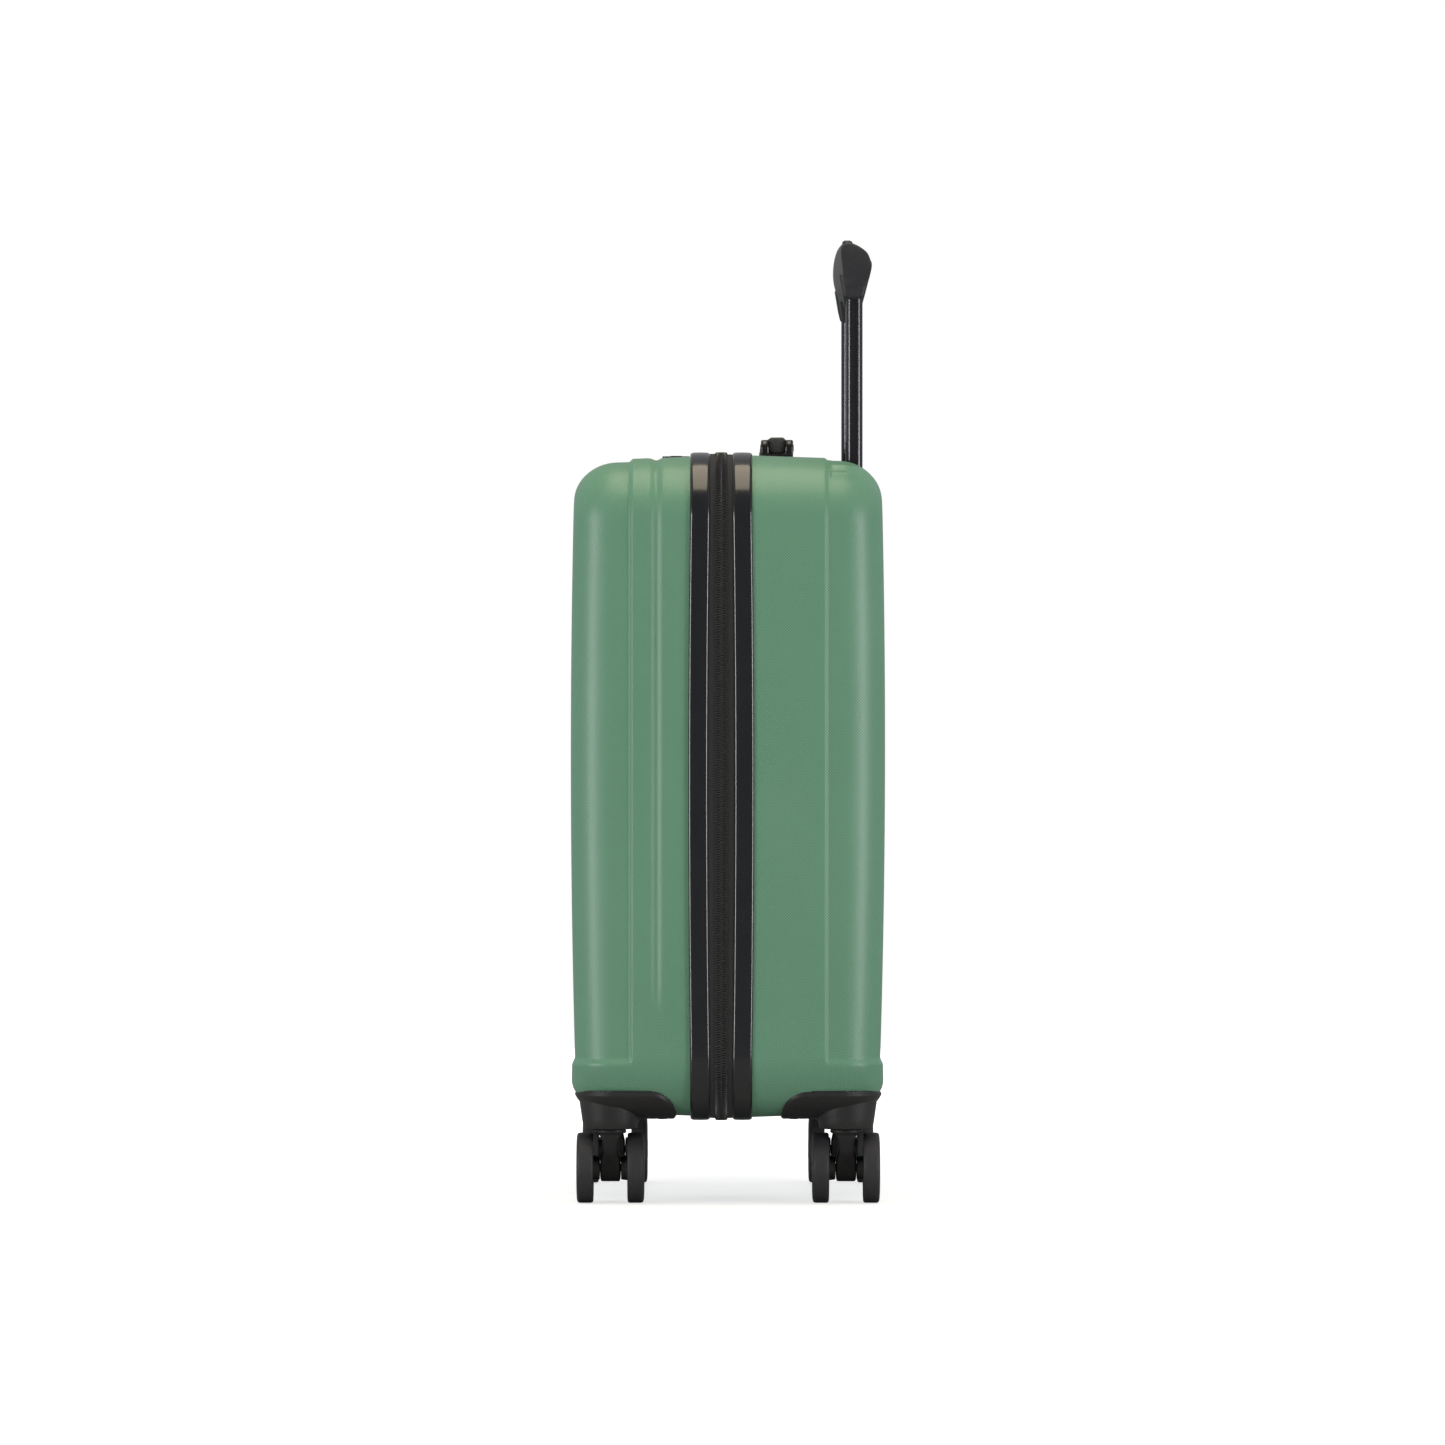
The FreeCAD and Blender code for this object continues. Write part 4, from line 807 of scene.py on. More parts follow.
for side, end in ENDS:
    low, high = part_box(f"{end}_{side}_axle")
    axle = (low + high) / 2 / MM
    caster = f"{end}_{side}_caster"
    for place, sign in (("outer", SIGN[end]), ("inner", -SIGN[end])):
        wheel = f"{end}_{side}_{place}_wheel"
        tyre = turned(TYRE_FORM, axle, sign, 72)
        piece(wheel + "_tyre", *skin(tyre, round_path=True), tyre_grey, wheel, "wheel_black", [wheel], 50)
        hub = turned(HUB_FORM, axle, sign, 90, pockets=True)
        hub_mesh = skin(hub, round_ring=False, round_path=True)
        piece(wheel + "_hub", *hub_mesh, hub_black, wheel, "wheel_black", [wheel], 34)
    swivel_x, swivel_y = CASTER[0] * SIGN[side], axle.y
    rings = []
    for z, x_low, x_high, half_wide, radius in FORK_LEVELS:
        middle = swivel_x + (x_low + x_high) / 2
        shape = round_rect((x_high - x_low) / 2, half_wide, radius, steps=8)
        rings.append([(middle + a, swivel_y + b, z) for a, b in shape])
    fork = piece(caster + "_fork", *skin(rings), fork_black, caster, "fork_black", [f"{end}_{side}_fork"], 50)
    rings = [
        [(swivel_x + r * a / 10, swivel_y + r * b / 10, z) for a, b in round_rect(10, 10, 9.9, 6)]
        for z, r in ((53.0, 5.0), (69.4, 5.0), (70.0, 4.3))
    ]
    piece(caster + "_stem", *skin(rings), steel, caster, "steel", crease=30)


def refinish(finish, *nodes):
    """Gives parts of the frame that keep their own shape a finish."""
    for node in nodes:
        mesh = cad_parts[node].data
        mesh.materials.clear()
        mesh.materials.append(finish.material)


refinish(steel, *[f"{end}_{side}_axle" for side, end in ENDS], "rear_screws", "front_screws")

# ------------------------------------------------------------------ the linings
# Each shell is lined with grey printed-weave polyester, glued round the rim. The rear lining is drawn
# over the pull handle's tubes and well, the front one over the lock.

lining_cloth = Finish("lining_polyester", roughness=0.7, sheen_weight=0.35, sheen_roughness=0.4)
across, deep, up = lining_cloth.places()
warp = ((across + deep) * 3.4).wave()
weft = ((up + deep) * 3.4).wave()
diamonds = ((across + up) * 0.35).wave() * ((across - up) * 0.35).wave()
cloth = warp * weft * 0.5 + 0.5
lining_cloth.shades(cloth * 0.5 + diamonds * 0.2 + 0.25, paint(90, 94, 98), paint(132, 136, 140))
lining_cloth.relief(cloth, 0.12)


def crumple(x, y, z, size):
    """Soft folds: a value from about -1 to 1 that changes over size millimetres."""
    return mathutils.noise.noise(mathutils.Vector((x, y, z)) / size)


STEP_ROOM = {"front": 3.4, "rear": 2.2}  # the cloth draws in this far to clear the step's inside
TUBE_X = 125
OVER_TUBES, OVER_WELL = 79.5, 71.5  # how deep the cloth can lie over the handle's tubes and its well
UNDER_LOCK, OVER_CUPS = 518.5, 79.6  # its highest under the lock, and its lowest over the caster cups
for half in ("rear", "front"):
    node = half + "_lining"
    low, high = box_mm(node)
    FACE[node] = max(abs(low.y), abs(high.y)) - 0.4
    start = min(abs(low.y), abs(high.y))
    inset = SIDE - high.x + 0.5
    cup_lines = [way * (140 + 3.5 * step) for step in range(13) for way in (1, -1)]
    x_lines = merged([-SIDE, SIDE], spread(-SIDE, SIDE, 7), cup_lines)
    z_lines = merged([BOTTOM, TOP], spread(BOTTOM, TOP, 7), gap=0.4)
    corners, quads = box_skin(x_lines, spread(start, FACE[node], 5), z_lines)
    points = []
    for x, depth, z in corners:
        place, out = on_case(x, depth, z, node)
        wrinkle = 0.9 * crumple(*place, 34) + 0.35 * crumple(*place, 13) - 0.9
        lift = -inset * (1 - out[1] ** 2) + wrinkle * ease(start, start + 12, place[1])
        lift -= STEP_ROOM[half] * (1 - out[1] ** 2) * ease(30, 46, depth)
        x, depth, z = (part + lift * way for part, way in zip(place, out))
        if half == "rear":
            tube = 1 - ease(16, 22, abs(abs(x) - TUBE_X))
            well = (1 - ease(148, 154, abs(x))) * ease(466, 471, z)
            foot = (1 - ease(133, 139, abs(x))) * (1 - ease(87, 92, z))
            past_tubes = depth + (OVER_TUBES - depth) * max(tube, foot)
            depth = min(depth, past_tubes, depth + (OVER_WELL - depth) * well)
        else:
            lock = (1 - ease(39, 44, abs(x))) * ease(22, 25, depth) * (1 - ease(50, 54, depth))
            z = min(z, z + (UNDER_LOCK - z) * lock)
        cup = 1 - ease(15.5, 21, math.hypot(abs(x) - CASTER[0], depth - abs(CASTER[1])))
        z = max(z, z + (OVER_CUPS - z) * cup)
        points.append((x, depth * SIGN[half], z))
    body = half + "_case"
    cloth = piece(node + "_cloth", points, quads, lining_cloth, body, "lining_grey", [node], crease=70)
    thick = cloth.modifiers.new("thickness", "SOLIDIFY")
    thick.thickness = 0.7 * MM
    thick.offset = -1
    wide, tall, depth = high.x - low.x, high.z - low.z, FACE[node] - start
    cut = (wide * tall + 2 * (wide + tall) * depth) * MM**2
    cut_size = ((wide + 2 * depth) * MM, (tall + 2 * depth) * MM)
    half + "_moulded_shell"

# ------------------------------------------------------------------ the mesh pocket
# A zipped pocket of black knitted mesh on the front lining, bound round its edge with folded tape.

knit = Finish("knitted_mesh", roughness=0.7, sheen_weight=0.2)
across, _, up = knit.places()
one = ((across + up) * 1.9).wave()
other = ((across - up) * 1.9).wave()
holes = (abs(one) + abs(other)).above(1.05)
knit.shades(abs(one), paint(20, 20, 21), paint(44, 44, 46))
knit.drive("Alpha", 1.0 - holes * 0.85)
knit.relief(abs(one) * 0.5 + abs(other) * 0.5, 0.2)

webbing = Finish("binding_and_webbing", roughness=0.75, sheen_weight=0.3, sheen_roughness=0.45)
across, _, up = webbing.places()
cross = (across * 2.6).wave()
rise = (up * 2.6 + cross).wave()
webbing.shades(rise * 0.5 + 0.5, paint(19, 19, 20), paint(43, 43, 45))
webbing.relief(rise * 0.5 + 0.5, 0.25)

low, high = box_mm("mesh_pocket")
middle_x, middle_z = (low.x + high.x) / 2, (low.z + high.z) / 2
half_x, half_z = (high.x - low.x) / 2, (high.z - low.z) / 2
points, quads = [], []
columns, rows = spread(-1, 1, 0.05), spread(-1, 1, 0.06)
for row in rows:
    for column in columns:
        x, z = middle_x + column * (half_x - 2), middle_z + row * (half_z - 2)
        slack = (1 - row**4) * (1 - column**4)
        points.append((x, high.y + 0.6 + slack * (2.6 + 1.5 * crumple(x, 0, z, 60)), z))
for row in range(len(rows) - 1):
    for column in range(len(columns) - 1):
        first = row * len(columns) + column
        quads.append((first, first + 1, first + 1 + len(columns), first + len(columns)))
pocket = piece("mesh_pocket_knit", points, quads, knit, "front_case", "mesh_black", ["mesh_pocket"])
rings = []
for a, b in round_rect(half_x - 3, half_z - 3, 14, steps=8):
    length = math.hypot(a / half_x, b / half_z)
    out_a, out_b = a / half_x / length, b / half_z / length
    form = ((-3.5, 0.2), (-3.5, 1.9), (-2.6, 2.3), (2.6, 2.3), (3.5, 1.9), (3.5, 0.2))
    rings.append([(middle_x + a + out_a * w, high.y + h, middle_z + b + out_b * w) for w, h in form])
piece("mesh_pocket_binding", *skin(rings, round_path=True), webbing, "front_case", "webbing_black")

# ------------------------------------------------------------------ the packing straps
# Two elastic webbing straps, each split in a V and sewn to the rear lining's side, hold the clothes
# down. They meet at a moulded side-release buckle.

buckle_low, buckle_high = box_mm("buckle_socket")
strap_low, strap_high = box_mm("right_strap")
STRAP_HALF = 12.3
BUCKLE_Z = (buckle_low.z + buckle_high.z) / 2
ANCHOR_RISE = strap_high.z - BUCKLE_Z - STRAP_HALF - 0.2
buckle_black = Finish("buckle_acetal", roughness=0.33, ior=1.48)
buckle_black.shades(buckle_black.noise(150.0), paint(24, 24, 25), paint(40, 40, 41))
buckle_black.relief(buckle_black.noise(2500.0), 0.03)


def strap_branch(sign, branch, level):
    """One arm of a strap: flat webbing from the buckle out to its anchor on the side of the lining."""
    route = [(strap_low.x - 1, 0.0), (strap_low.x + 9, 0.0), (strap_low.x + 22, 0.09)]
    route += [(strap_low.x + 22 + 11.8 * step, 0.09 + 0.91 * step / 11) for step in range(1, 12)]
    rings = []
    for number, (x, share) in enumerate(route):
        x = min(x, strap_high.x - 0.4)
        before, after = route[max(0, number - 1)], route[min(len(route) - 1, number + 1)]
        slope = math.atan2((after[1] - before[1]) * ANCHOR_RISE, after[0] - before[0]) * branch
        z = BUCKLE_Z + share * ANCHOR_RISE * branch
        y = strap_low.y + 0.05 + level + 0.5 * math.sin(share * math.pi)
        ring = []
        for across, thick in ((-1, 0.3), (-0.97, 0.0), (0, 0.1), (0.97, 0.0), (1, 0.3)):
            ring.append((across * STRAP_HALF, y + thick))
        for across, sunk in ((1, 0.25), (0.97, 0.25), (0, 0), (-0.97, 0.25), (-1, 0.25)):
            ring.append((across * STRAP_HALF, y + 1.0 - sunk))
        edge = min(1.0, (strap_high.x - x + 4) / 30)
        tilt = slope * edge
        rings.append([(sign * (x - math.sin(tilt) * w), y, z + math.cos(tilt) * w) for w, y in ring])
    return skin(rings)


for side in ("right", "left"):
    node = side + "_strap"
    sign = SIGN[side]
    arms = [strap_branch(sign, 1, 0.0), strap_branch(sign, -1, 0.75)]
    body = None if side == "right" else "rear_case"
    strap = piece(node + "_webbing", *gather(arms), webbing, body, "webbing_black", [node], crease=70)
    if side == "right":
        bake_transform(strap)
refinish(buckle_black, "buckle_socket", "buckle_plug")

# ------------------------------------------------------------------ the pull handle
# Two pairs of telescoping tubes of black anodised aluminium slide in the rear shell. The inner ones
# carry an arched grip of soft-touch nylon with a leg over each tube and a release button on its ridge.

anodised = Finish("black_anodised_tube", metallic=0.85, roughness=0.24, specular_ior_level=0.5)
streaks = anodised.noise(700.0, 3.0, stretch=(1, 1, 0.01))
anodised.shades(streaks, paint(58, 58, 62), paint(82, 82, 86))
anodised.gloss(streaks, 0.17, 0.3)
anodised.relief(streaks, 0.02)
refinish(anodised, "outer_tubes", "middle_tubes", "right_inner_tube", "left_inner_tube")
refinish(steel, "release_rods", "lock_pins")
refinish(fork_black, "trolley_foot")

bezel_black = Finish("moulded_handle_well", roughness=0.42, ior=1.48)
leather = bezel_black.noise(1500.0, 4.0)
bezel_black.shades(bezel_black.noise(30.0, 4.0), paint(26, 26, 27), paint(42, 42, 43))
bezel_black.gloss(leather, 0.36, 0.52)
bezel_black.relief(leather, 0.08)
# The well keeps its own inside. Where it meets the skin it is drawn back to lie flush in the opening.
FLUSH_GAP = 0.3
well_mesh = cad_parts["trolley_bezel"].data
well_points = []
for corner in well_mesh.vertices:
    x, y, z = corner.co / MM
    if y > FACE["rear"] - EDGE or z > TOP - EDGE:
        place, out = on_case(x, y, z, "rear")
        core = [part - EDGE * way for part, way in zip(place, out)]
        reach = sum((part - middle) * way for part, middle, way in zip((x, y, z), core, out))
        reach = min(reach, EDGE + shell_relief("rear", place, out) - FLUSH_GAP)
        x, y, z = (middle + reach * way for middle, way in zip(core, out))
    well_points.append((x, y, z))
well_faces = [tuple(face.vertices) for face in well_mesh.polygons]
piece("handle_well", well_points, well_faces, bezel_black, "rear_case", "handle_black", ["trolley_bezel"])

grip_black = Finish("soft_touch_grip", roughness=0.52, ior=1.46, sheen_weight=0.05, sheen_roughness=0.5)
skin_pores = grip_black.noise(2400.0, 3.0)
handled = grip_black.noise(26.0, 5.0, roughness=0.65)
grip_black.shades(handled, paint(38, 38, 42), paint(51, 51, 56))
grip_black.gloss(skin_pores * 0.4 + handled * 0.6, 0.4, 0.6)
grip_black.relief(skin_pores, 0.07)

grip_low, grip_high = box_mm("grip")
GRIP_HALF = grip_high.x
# One section of the grip at its middle and one at its end, as (y, z), from the underside's front edge
# up the front, over the ridge and down the back.
MIDDLE_SECTION = [(83.5, 657.0), (79.6, 659.0), (77.6, 664.5), (76.8, 672.0), (77.3, 680.5), (79.0, 687.9)]
MIDDLE_SECTION += [(81.8, 693.2), (85.6, 696.0), (89.4, 695.5), (93.8, 692.8), (97.9, 687.8), (100.9, 680.6)]
MIDDLE_SECTION += [(101.8, 672.8), (100.7, 665.0), (99.4, 659.6), (95.5, 657.0)]
END_SECTION = [(86.4, 657.0), (84.0, 659.0), (82.9, 664.5), (81.9, 672.0), (81.0, 679.5), (80.9, 684.8)]
END_SECTION += [(82.8, 687.8), (85.9, 689.0), (90.2, 687.8), (94.9, 685.5), (99.7, 681.8), (102.0, 677.0)]
END_SECTION += [(103.2, 672.8), (101.7, 665.0), (99.8, 659.6), (96.5, 657.0)]


def rounded_loop(corners, steps=4):
    """A smooth closed line through the corners."""
    found = []
    for number in range(len(corners)):
        four = [corners[(number + shift) % len(corners)] for shift in (-1, 0, 1, 2)]
        for step in range(steps):
            share = step / steps
            point = []
            for axis in (0, 1):
                p, q, r, s = (corner[axis] for corner in four)
                curve = 2 * q + (r - p) * share + (2 * p - 5 * q + 4 * r - s) * share**2
                point.append((curve + (3 * q - p - 3 * r + s) * share**3) / 2)
            found.append(tuple(point))
    return found


def grip_bar():
    """The arched bar: the middle section runs out into the end section, and the ends are rounded."""
    rings = []
    middle_loop, end_loop = rounded_loop(MIDDLE_SECTION), rounded_loop(END_SECTION)
    centre = (92.3, 670.5)
    ends = [(GRIP_HALF, 0.93), (GRIP_HALF - 0.35, 0.965), (GRIP_HALF - 1.2, 0.992), (GRIP_HALF - 2.4, 1.0)]
    half = ends + [(x, 1.0) for x in spread(GRIP_HALF - 6, 0, 7)]
    for x, scale in [(-x, scale) for x, scale in half] + [(x, scale) for x, scale in reversed(half[:-1])]:
        arch = 1 - (abs(x) / GRIP_HALF) ** 2
        ring = []
        for (y_end, z_end), (y_mid, z_mid) in zip(end_loop, middle_loop):
            y, z = y_end + (y_mid - y_end) * arch, z_end + (z_mid - z_end) * arch
            ring.append((x, centre[0] + (y - centre[0]) * scale, centre[1] + (z - centre[1]) * scale))
        rings.append(ring)
    return skin(rings)


def grip_leg(sign):
    """A leg: it tapers down over its tube, and its foot is cut at a slant."""
    inner_x, outer_x, top = GRIP_HALF - 27, GRIP_HALF - 0.15, 666.0
    centre_x, half_x = (inner_x + outer_x) / 2, (outer_x - inner_x) / 2
    rings = []
    levels = ((0, 0), (0.3, 0), (0.6, 0), (0.85, 0), (0.95, 0.1), (0.985, 0.5), (1.0, 1.3), (1.0, 5.0))
    for share, shrink in levels:
        ring = []
        for a, b in round_rect(half_x - shrink, 8.5, 3.2, steps=6):
            x = centre_x + a
            foot = 642.0 + 8.0 * (x - inner_x) / (outer_x - inner_x)
            z = top + (foot - top) * share
            front = 79.8 + 0.167 * (665 - z) + shrink
            rear = 101.6 - 0.259 * (665 - z) - shrink
            ring.append((sign * x, (front + rear) / 2 + b / 8.5 * (rear - front) / 2, z))
        rings.append(ring)
    return skin(rings)


grip_parts = [grip_bar(), grip_leg(1), grip_leg(-1)]
piece("grip_moulding", *gather(grip_parts), grip_black, "trolley", "handle_black", ["grip"], crease=42)

button_low, _ = box_mm("grip_button")
BUTTON_ARCH = 0.0016  # the button falls away from its middle by this much of the square of x
button_y = button_low.y + 4.6
rings = []
for z, inset in ((688.0, 0.0), (695.6, 0.0), (696.3, 0.25), (696.8, 0.9), (697.0, 2.2)):
    shape = round_rect(23.6 - inset, 3.8 - inset, 3.7, steps=8)
    rings.append([(a, button_y + b, z - BUTTON_ARCH * a * a) for a, b in shape])
button_parts = [skin(rings)]
for x in spread(-12, 12, 4):
    bar = [
        [(x + a, button_y + b, z - BUTTON_ARCH * x * x) for a, b in round_rect(0.55 - cut, 2.3 - cut, 0.5)]
        for z, cut in ((696.7, 0), (697.1, 0), (697.3, 0.25))
    ]
    button_parts.append(skin(bar))
button_black = Finish("release_button", roughness=0.3, ior=1.5, coat_weight=0.2, coat_roughness=0.2)
button_black.shades(button_black.noise(200.0), paint(30, 30, 32), paint(47, 47, 49))
button_black.relief(button_black.noise(1800.0), 0.03)
piece("grip_release_button", *gather(button_parts), button_black, "button", "handle_black", ["grip_button"])

# ------------------------------------------------------------------ the carry handle
# A low rubber-covered strap handle on top of the rear shell. Its ends ride up and down between the
# cheeks of two glossy moulded mounts.

mount_black = Finish("glossy_handle_mount", roughness=0.22, ior=1.5, coat_weight=0.35, coat_roughness=0.12)
mount_black.shades(mount_black.noise(80.0), paint(20, 20, 21), paint(33, 33, 34))
mount_black.relief(mount_black.noise(1500.0), 0.02)
rubber = Finish("handle_rubber", roughness=0.58, ior=1.46, sheen_weight=0.1)
point = rubber.node("TexCoord", out="Object")
pebbles = rubber.node("TexVoronoi", {"feature": "SMOOTH_F1"}, {"Vector": point, "Scale": 900.0})
rubber.shades(pebbles, paint(66, 66, 67), paint(48, 48, 49))
rubber.relief(1.0 - pebbles, 0.12)

mount_y = (mount_low.y + mount_high.y) / 2
mount_x = (mount_low.x + mount_high.x) / 2
half_long, half_wide = (mount_high.x - mount_low.x) / 2, (mount_high.y - mount_low.y) / 2
CHEEK = 5.4
for side in ("right", "left"):
    x = mount_x * SIGN[side]
    rings = []
    for z, inset in ((534.6, 0.0), (537.2, 0.0), (537.8, 0.2), (538.1, 0.8)):
        shape = round_rect(half_long - inset, half_wide - inset, 3.5, steps=6)
        rings.append([(x + a, mount_y + b, z) for a, b in shape])
    parts = [skin(rings)]
    for way in (1, -1):
        levels = [(half_wide, 1.1), (half_wide - 0.3, 0.35), (half_wide - 1.1, 0.0)]
        levels += [(half_wide - CHEEK + 0.8, 0.0), (half_wide - CHEEK + 0.15, 0.35), (half_wide - CHEEK, 0.9)]
        cheek = []
        for out, inset in levels:
            shape = round_rect(half_long - 1.5 - inset, 7.4 - inset, 5.2, steps=8)
            cheek.append([(x + a, mount_y + way * out, 541.0 + b) for a, b in shape])
        parts.append(skin(cheek))
        rivet = []
        for out, radius in ((-0.4, 2.7), (0.25, 2.7), (0.5, 2.3), (0.5, 1.0)):
            y = mount_y + way * (half_wide + out)
            disc = round_rect(5, 5, 4.9, 5)
            rivet.append([(x + radius * a / 5, y, 542.6 + radius * b / 5) for a, b in disc])
        parts.append(skin(rivet))
    node = side + "_handle_mount"
    piece(node + "_cheeks", *gather(parts), mount_black, "rear_case", "handle_black", [node], crease=45)

carry_low, carry_high = box_mm("carry_handle")
rings = []
reach = carry_high.x
stops = [(reach, 1.7), (reach - 0.3, 0.8), (reach - 1.0, 0.25), (reach - 2.2, 0.0)]
half = stops + [(x, 0.0) for x in spread(reach - 7, 0, 6)]
for x, inset in [(-x, i) for x, i in half] + [(x, i) for x, i in reversed(half[:-1])]:
    palm = 1 - ease(62, 82, abs(x))
    top = carry_high.z + 0.3 - 0.5 * (abs(x) / reach) ** 2
    foot = 538.5 + (542.4 - 538.5) * (1 - ease(78, 92, abs(x)))
    half_b = 6.0 + 4.7 * palm - inset
    half_c = (top - foot) / 2 - inset
    shape = round_rect(half_b, half_c, 2.5 + 1.2 * palm, steps=6)
    grip_line = 0.35 * (1 if palm > 0.98 and round(abs(x) / 6) % 2 else 0)
    rings.append([(x, mount_y + b * (1 - grip_line / half_b), (top + foot) / 2 + c) for b, c in shape])
handle = skin(rings)
piece("carry_handle_rubber", *handle, rubber, "carry_handle", "handle_black", ["carry_handle"], crease=50)

# ------------------------------------------------------------------ the lock
# A three-dial combination lock is let into the top of the front shell. Its flange is satin black, the
# dials are ribbed wheels with raised numerals, and a key cylinder and a sliding release sit beside them.

lock_black = Finish("satin_lock_case", roughness=0.34, ior=1.5, coat_weight=0.15, coat_roughness=0.3)
lock_black.shades(lock_black.noise(60.0), paint(22, 22, 23), paint(36, 36, 37))
lock_black.relief(lock_black.noise(1900.0), 0.04)
nickel = Finish("brushed_nickel", metallic=1.0, roughness=0.28)
brushed = nickel.noise(900.0, 3.0, stretch=(0.05, 1, 1))
nickel.shades(brushed, paint(120, 121, 124), paint(158, 159, 162))
nickel.gloss(brushed, 0.2, 0.36)
nickel.relief(brushed, 0.02)
numeral_white = Finish("numeral_paint", roughness=0.5)
numeral_white.shades(numeral_white.noise(1500.0), paint(205, 205, 203), paint(232, 232, 230))
refinish(lock_black, "lock_body")
refinish(nickel, "key_cylinder", "lock_release")

NUMERALS = 10
for number in (1, 2, 3):
    node = f"lock_dial_{number}"
    low, high = box_mm(node)
    centre = (low + high) / 2
    radius, half = (high.z - low.z) / 2, (high.x - low.x) / 2
    rings = []
    levels = [(-half, 0.7), (-half + 0.35, 0.15), (-half + 0.7, 0.0)]
    levels += [(half - 0.7, 0.0), (half - 0.35, 0.15), (half, 0.7)]
    for out, inset in levels:
        ring = []
        for step in range(NUMERALS * 8):
            angle = 2 * math.pi * step / (NUMERALS * 8)
            groove = 0.45 * math.exp(-((((step / 8 + 0.5) % 1 - 0.5) / 0.16) ** 2))
            r = radius - inset - groove
            ring.append((centre.x + out, centre.y + r * math.sin(angle), centre.z + r * math.cos(angle)))
        rings.append(ring)
    piece(node + "_wheel", *skin(rings), lock_black, node, "lock_black", [node], crease=50)
    points, faces = [], []
    for digit in range(NUMERALS):
        curve = bpy.data.curves.new(f"{node}_{digit}", "FONT")
        curve.body = str(digit)
        curve.size = 3.1
        curve.align_x = "CENTER"
        curve.align_y = "CENTER"
        curve.resolution_u = 3
        made = bpy.data.objects.new(curve.name, curve)
        glyph = bpy.data.meshes.new_from_object(made)
        turn = 2 * math.pi * (digit + 0.5) / NUMERALS
        start = len(points)
        for vertex in glyph.vertices:
            angle = turn - vertex.co.y / radius
            r = radius + 0.03
            y, z = centre.y + r * math.sin(angle), centre.z + r * math.cos(angle)
            points.append((centre.x + vertex.co.x, y, z))
        faces += [tuple(v + start for v in polygon.vertices) for polygon in glyph.polygons]
        bpy.data.objects.remove(made)
        bpy.data.curves.remove(curve)
        bpy.data.meshes.remove(glyph)
    piece(node + "_numerals", points, faces, numeral_white, node, "lock_metal", crease=60)

# ------------------------------------------------------------------ the zip sliders and pulls
# Two die-cast sliders run on the coil. Each has a bridge, and a flat pull with a waist that hangs from
# it over the front band, just short of the lock.

gunmetal = Finish("black_nickel_casting", metallic=0.9, roughness=0.3)
cast = gunmetal.noise(600.0, 4.0)
gunmetal.shades(cast, paint(58, 59, 62), paint(84, 85, 88))
gunmetal.gloss(cast, 0.22, 0.4)
gunmetal.relief(cast, 0.03)

for side in ("right", "left"):
    low, high = box_mm(side + "_slider")
    centre = (low + high) / 2
    rings = []
    for rise, inset in ((0, 0.5), (0.2, 0.1), (0.95, 0.0), (1.25, 0.25), (1.35, 0.9)):
        z = low.z + rise
        ring = []
        for a, b in round_rect(6.4 - inset, 5.0 - inset, 3.4, steps=7):
            taper = 1 - 0.16 * (a * SIGN[side] / 6.4 + 1) / 2
            ring.append((centre.x + a, centre.y + b * taper, z))
        rings.append(ring)
    parts = [skin(rings)]
    arch = []
    for step in range(13):
        angle = math.pi * step / 12
        along_x, rise = 3.3 * math.cos(angle), 2.0 * math.sin(angle) ** 0.7 if 0 < step < 12 else 0.0
        base_z = low.z + 1.1 + rise
        way_x, way_z = math.cos(angle), math.sin(angle)
        ring = []
        for a, b in round_rect(0.42, 1.0, 0.3, steps=3):
            ring.append((centre.x + along_x + a * way_x, centre.y + b, base_z + a * way_z))
        arch.append(ring)
    parts.append(skin(arch))
    node = side + "_slider"
    piece(node + "_casting", *gather(parts), gunmetal, node, "zip_metal", [node], 50)

    pull_low, pull_high = box_mm(side + "_pull")
    pin_y = centre.y
    pull_x = (pull_low.x + pull_high.x) / 2
    rings = []
    outline = ((0.8, 1.0, 0.5), (0.4, 1.9, 0.62), (-0.6, 2.25, 0.68), (-3.2, 2.25, 0.68), (-4.6, 1.7, 0.6))
    outline += ((-6.5, 1.35, 0.55), (-8.5, 1.6, 0.58), (-10.5, 2.2, 0.65), (-12.0, 2.3, 0.7))
    outline += ((-19.6, 2.3, 0.7), (-20.8, 2.0, 0.66), (-21.4, 1.4, 0.55), (-21.7, 0.6, 0.4))
    for from_pin, half_wide, half_thick in outline:
        z = (pull_high.z - 0.7) + from_pin * 0.8 / 22 + 0.1
        shape = round_rect(half_wide, half_thick, 0.35, steps=3)
        rings.append([(pull_x + a, pin_y + from_pin, z + b) for a, b in shape])
    node = side + "_pull"
    piece(node + "_tab", *skin(rings), gunmetal, node, "zip_metal", [node], crease=50)

# ------------------------------------------------------------------ the studio
# A large soft light overhead, a tall strip on each side, and the camera level with the case, a long way
# off its right side. The floor and the surround are near-white where the camera sees them straight,
# and darker as light on the case.

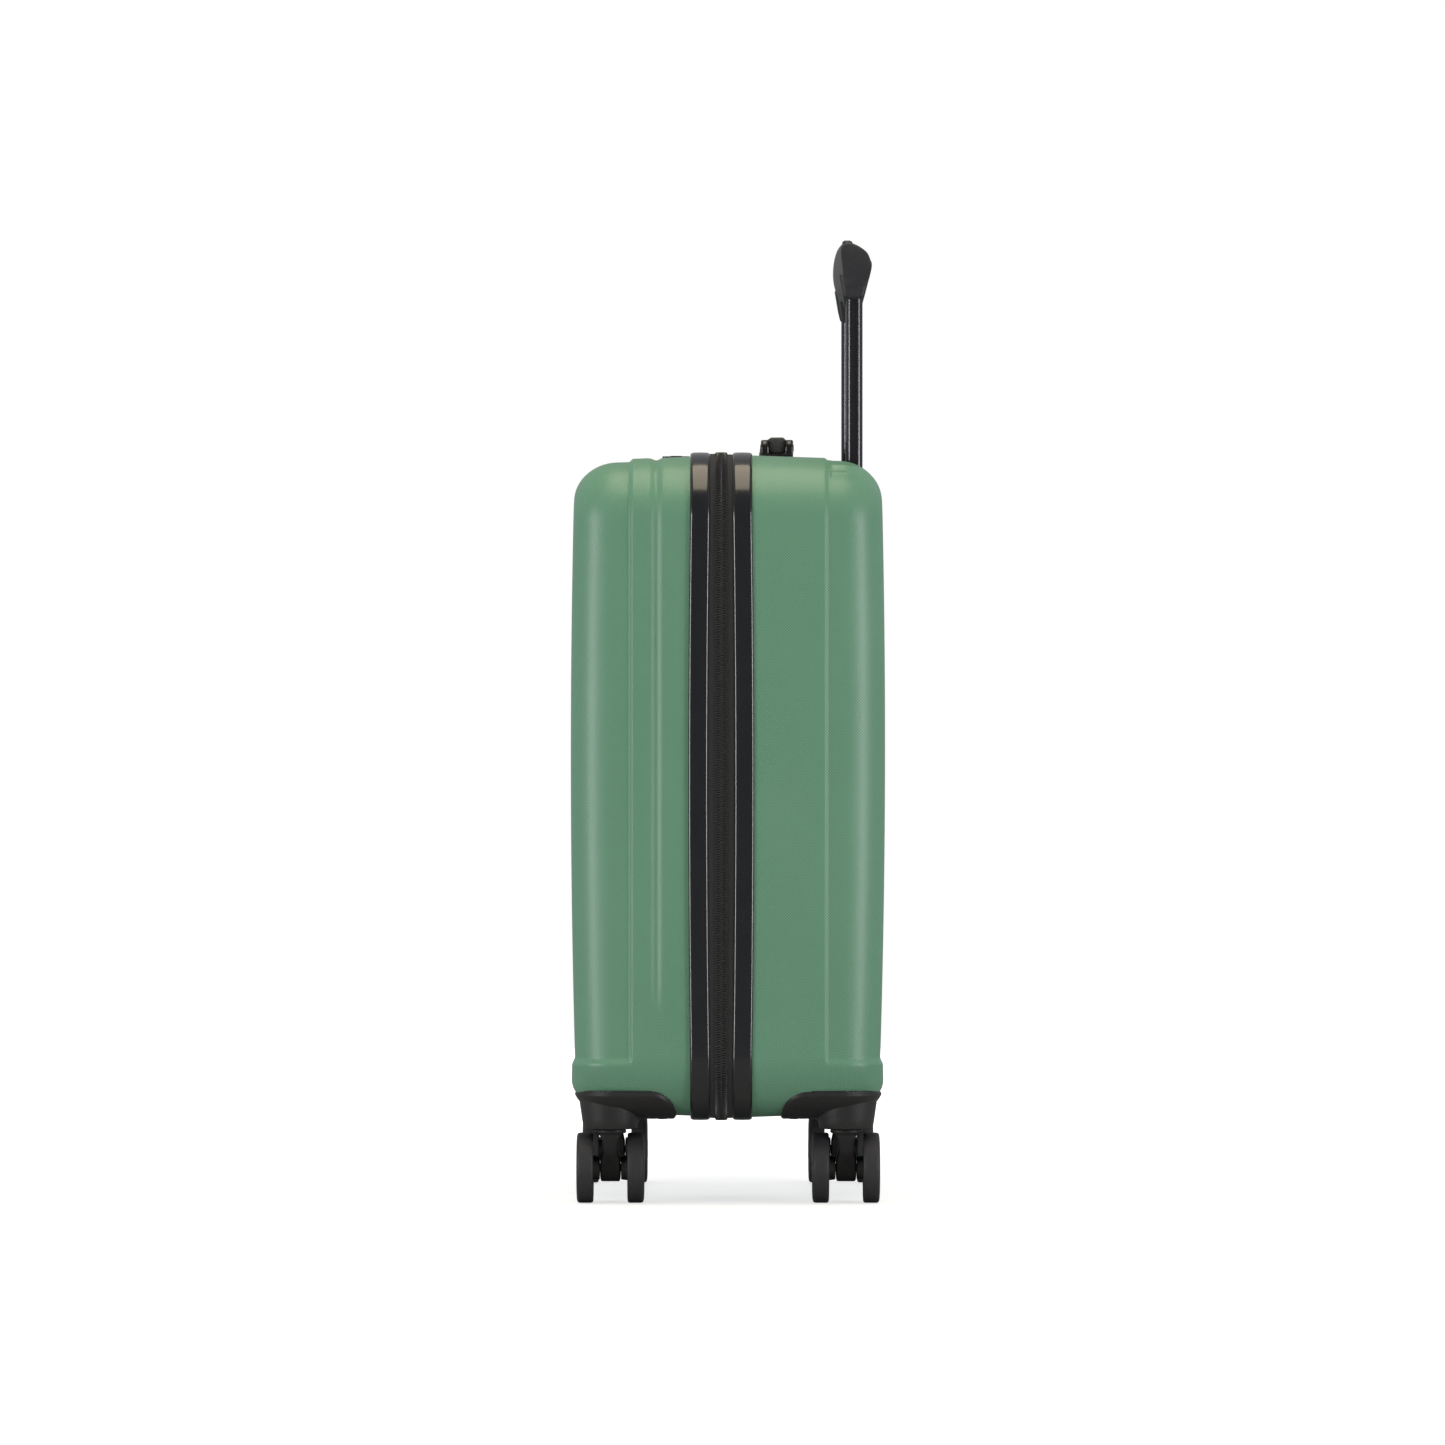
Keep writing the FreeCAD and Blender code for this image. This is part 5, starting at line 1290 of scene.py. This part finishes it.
floor_white = Finish("studio_floor", roughness=0.45, base_color=(0.86, 0.86, 0.86, 1), emission_strength=1.0)
across, deep, _ = floor_white.places()
from_case = (across * across + deep * deep) ** 0.5
far = floor_white.node("MapRange", {}, {"Value": from_case, "From Min": 300.0, "From Max": 1100.0})
direct = floor_white.node("LightPath", out="Is Camera Ray")
glow = {0: (far * 0.36 + 0.64) * direct, 6: (0.0, 0.0, 0.0, 1), 7: (1.0, 1.0, 1.0, 1)}
floor_white.drive("Emission Color", floor_white.node("Mix", {"data_type": "RGBA"}, glow, out=2))
floor_white.shades(direct, (0.4, 0.4, 0.4, 1), (0.86, 0.86, 0.86, 1))
mesh = bpy.data.meshes.new("studio_floor")
mesh.from_pydata([(-3, -3, 0), (3, -3, 0), (3, 3, 0), (-3, 3, 0)], [], [(0, 1, 2, 3)])
mesh.materials.append(floor_white.material)
floor = bpy.data.objects.new("studio_floor", mesh)
bpy.context.scene.collection.objects.link(floor)

world = bpy.data.worlds.new("white_surround")
bpy.context.scene.world = world
world.use_nodes = True
surround = Nodes(world.node_tree)
heading = surround.node("TexCoord", out="Generated")
sideways = surround.node("SeparateXYZ", {}, {"Vector": heading}, out="X")
dimming = {"Value": sideways, "From Min": 0.25, "From Max": 0.8, "To Min": 0.42, "To Max": 0.15}
dim = surround.node("MapRange", {}, dimming)
lighting = surround.node("Background", {}, {"Color": (0.96, 0.98, 1.0, 1.0), "Strength": dim})
white = surround.node("Background", {}, {"Color": (1.0, 1.0, 1.0, 1.0), "Strength": 1.0})
direct = surround.node("LightPath", out="Is Camera Ray")
both = surround.node("MixShader", {}, {"Fac": direct, 1: lighting, 2: white})
surround.tree.links.new(both.socket, surround.tree.nodes["World Output"].inputs["Surface"])


def soft_light(name, place, towards, wide, high, watts, colour=(1, 1, 1)):
    """A rectangular soft light that the camera doesn't see."""
    light = bpy.data.lights.new(name, "AREA")
    light.shape = "RECTANGLE"
    light.size = wide
    light.size_y = high
    light.energy = watts
    light.color = colour
    made = bpy.data.objects.new(name, light)
    bpy.context.scene.collection.objects.link(made)
    made.location = place
    way = mathutils.Vector(towards) - mathutils.Vector(place)
    made.rotation_euler = way.to_track_quat("-Z", "Y").to_euler()
    made.visible_camera = False


soft_light("overhead_softbox", (0.55, 0.0, 2.05), (0.4, 0.0, 0.0), 1.0, 1.7, 17, (1.0, 0.87, 0.65))
soft_light("left_strip", (1.4, -1.8, 0.35), (0.0, -0.05, 0.3), 0.5, 0.85, 18)
soft_light("right_strip", (1.4, 1.8, 0.35), (0.0, 0.05, 0.3), 0.5, 0.85, 18)

lens = bpy.data.cameras.new("side_view")
lens.sensor_width = 36.0
lens.lens = 229.97
lens.clip_end = 60.0
camera = bpy.data.objects.new("side_view", lens)
camera.location = (6.76, -0.0041, 0.3447)
camera.rotation_euler = (math.radians(90), 0, math.radians(90))
bpy.context.scene.collection.objects.link(camera)
bpy.context.scene.camera = camera
bpy.context.scene.view_settings.view_transform = "Standard"
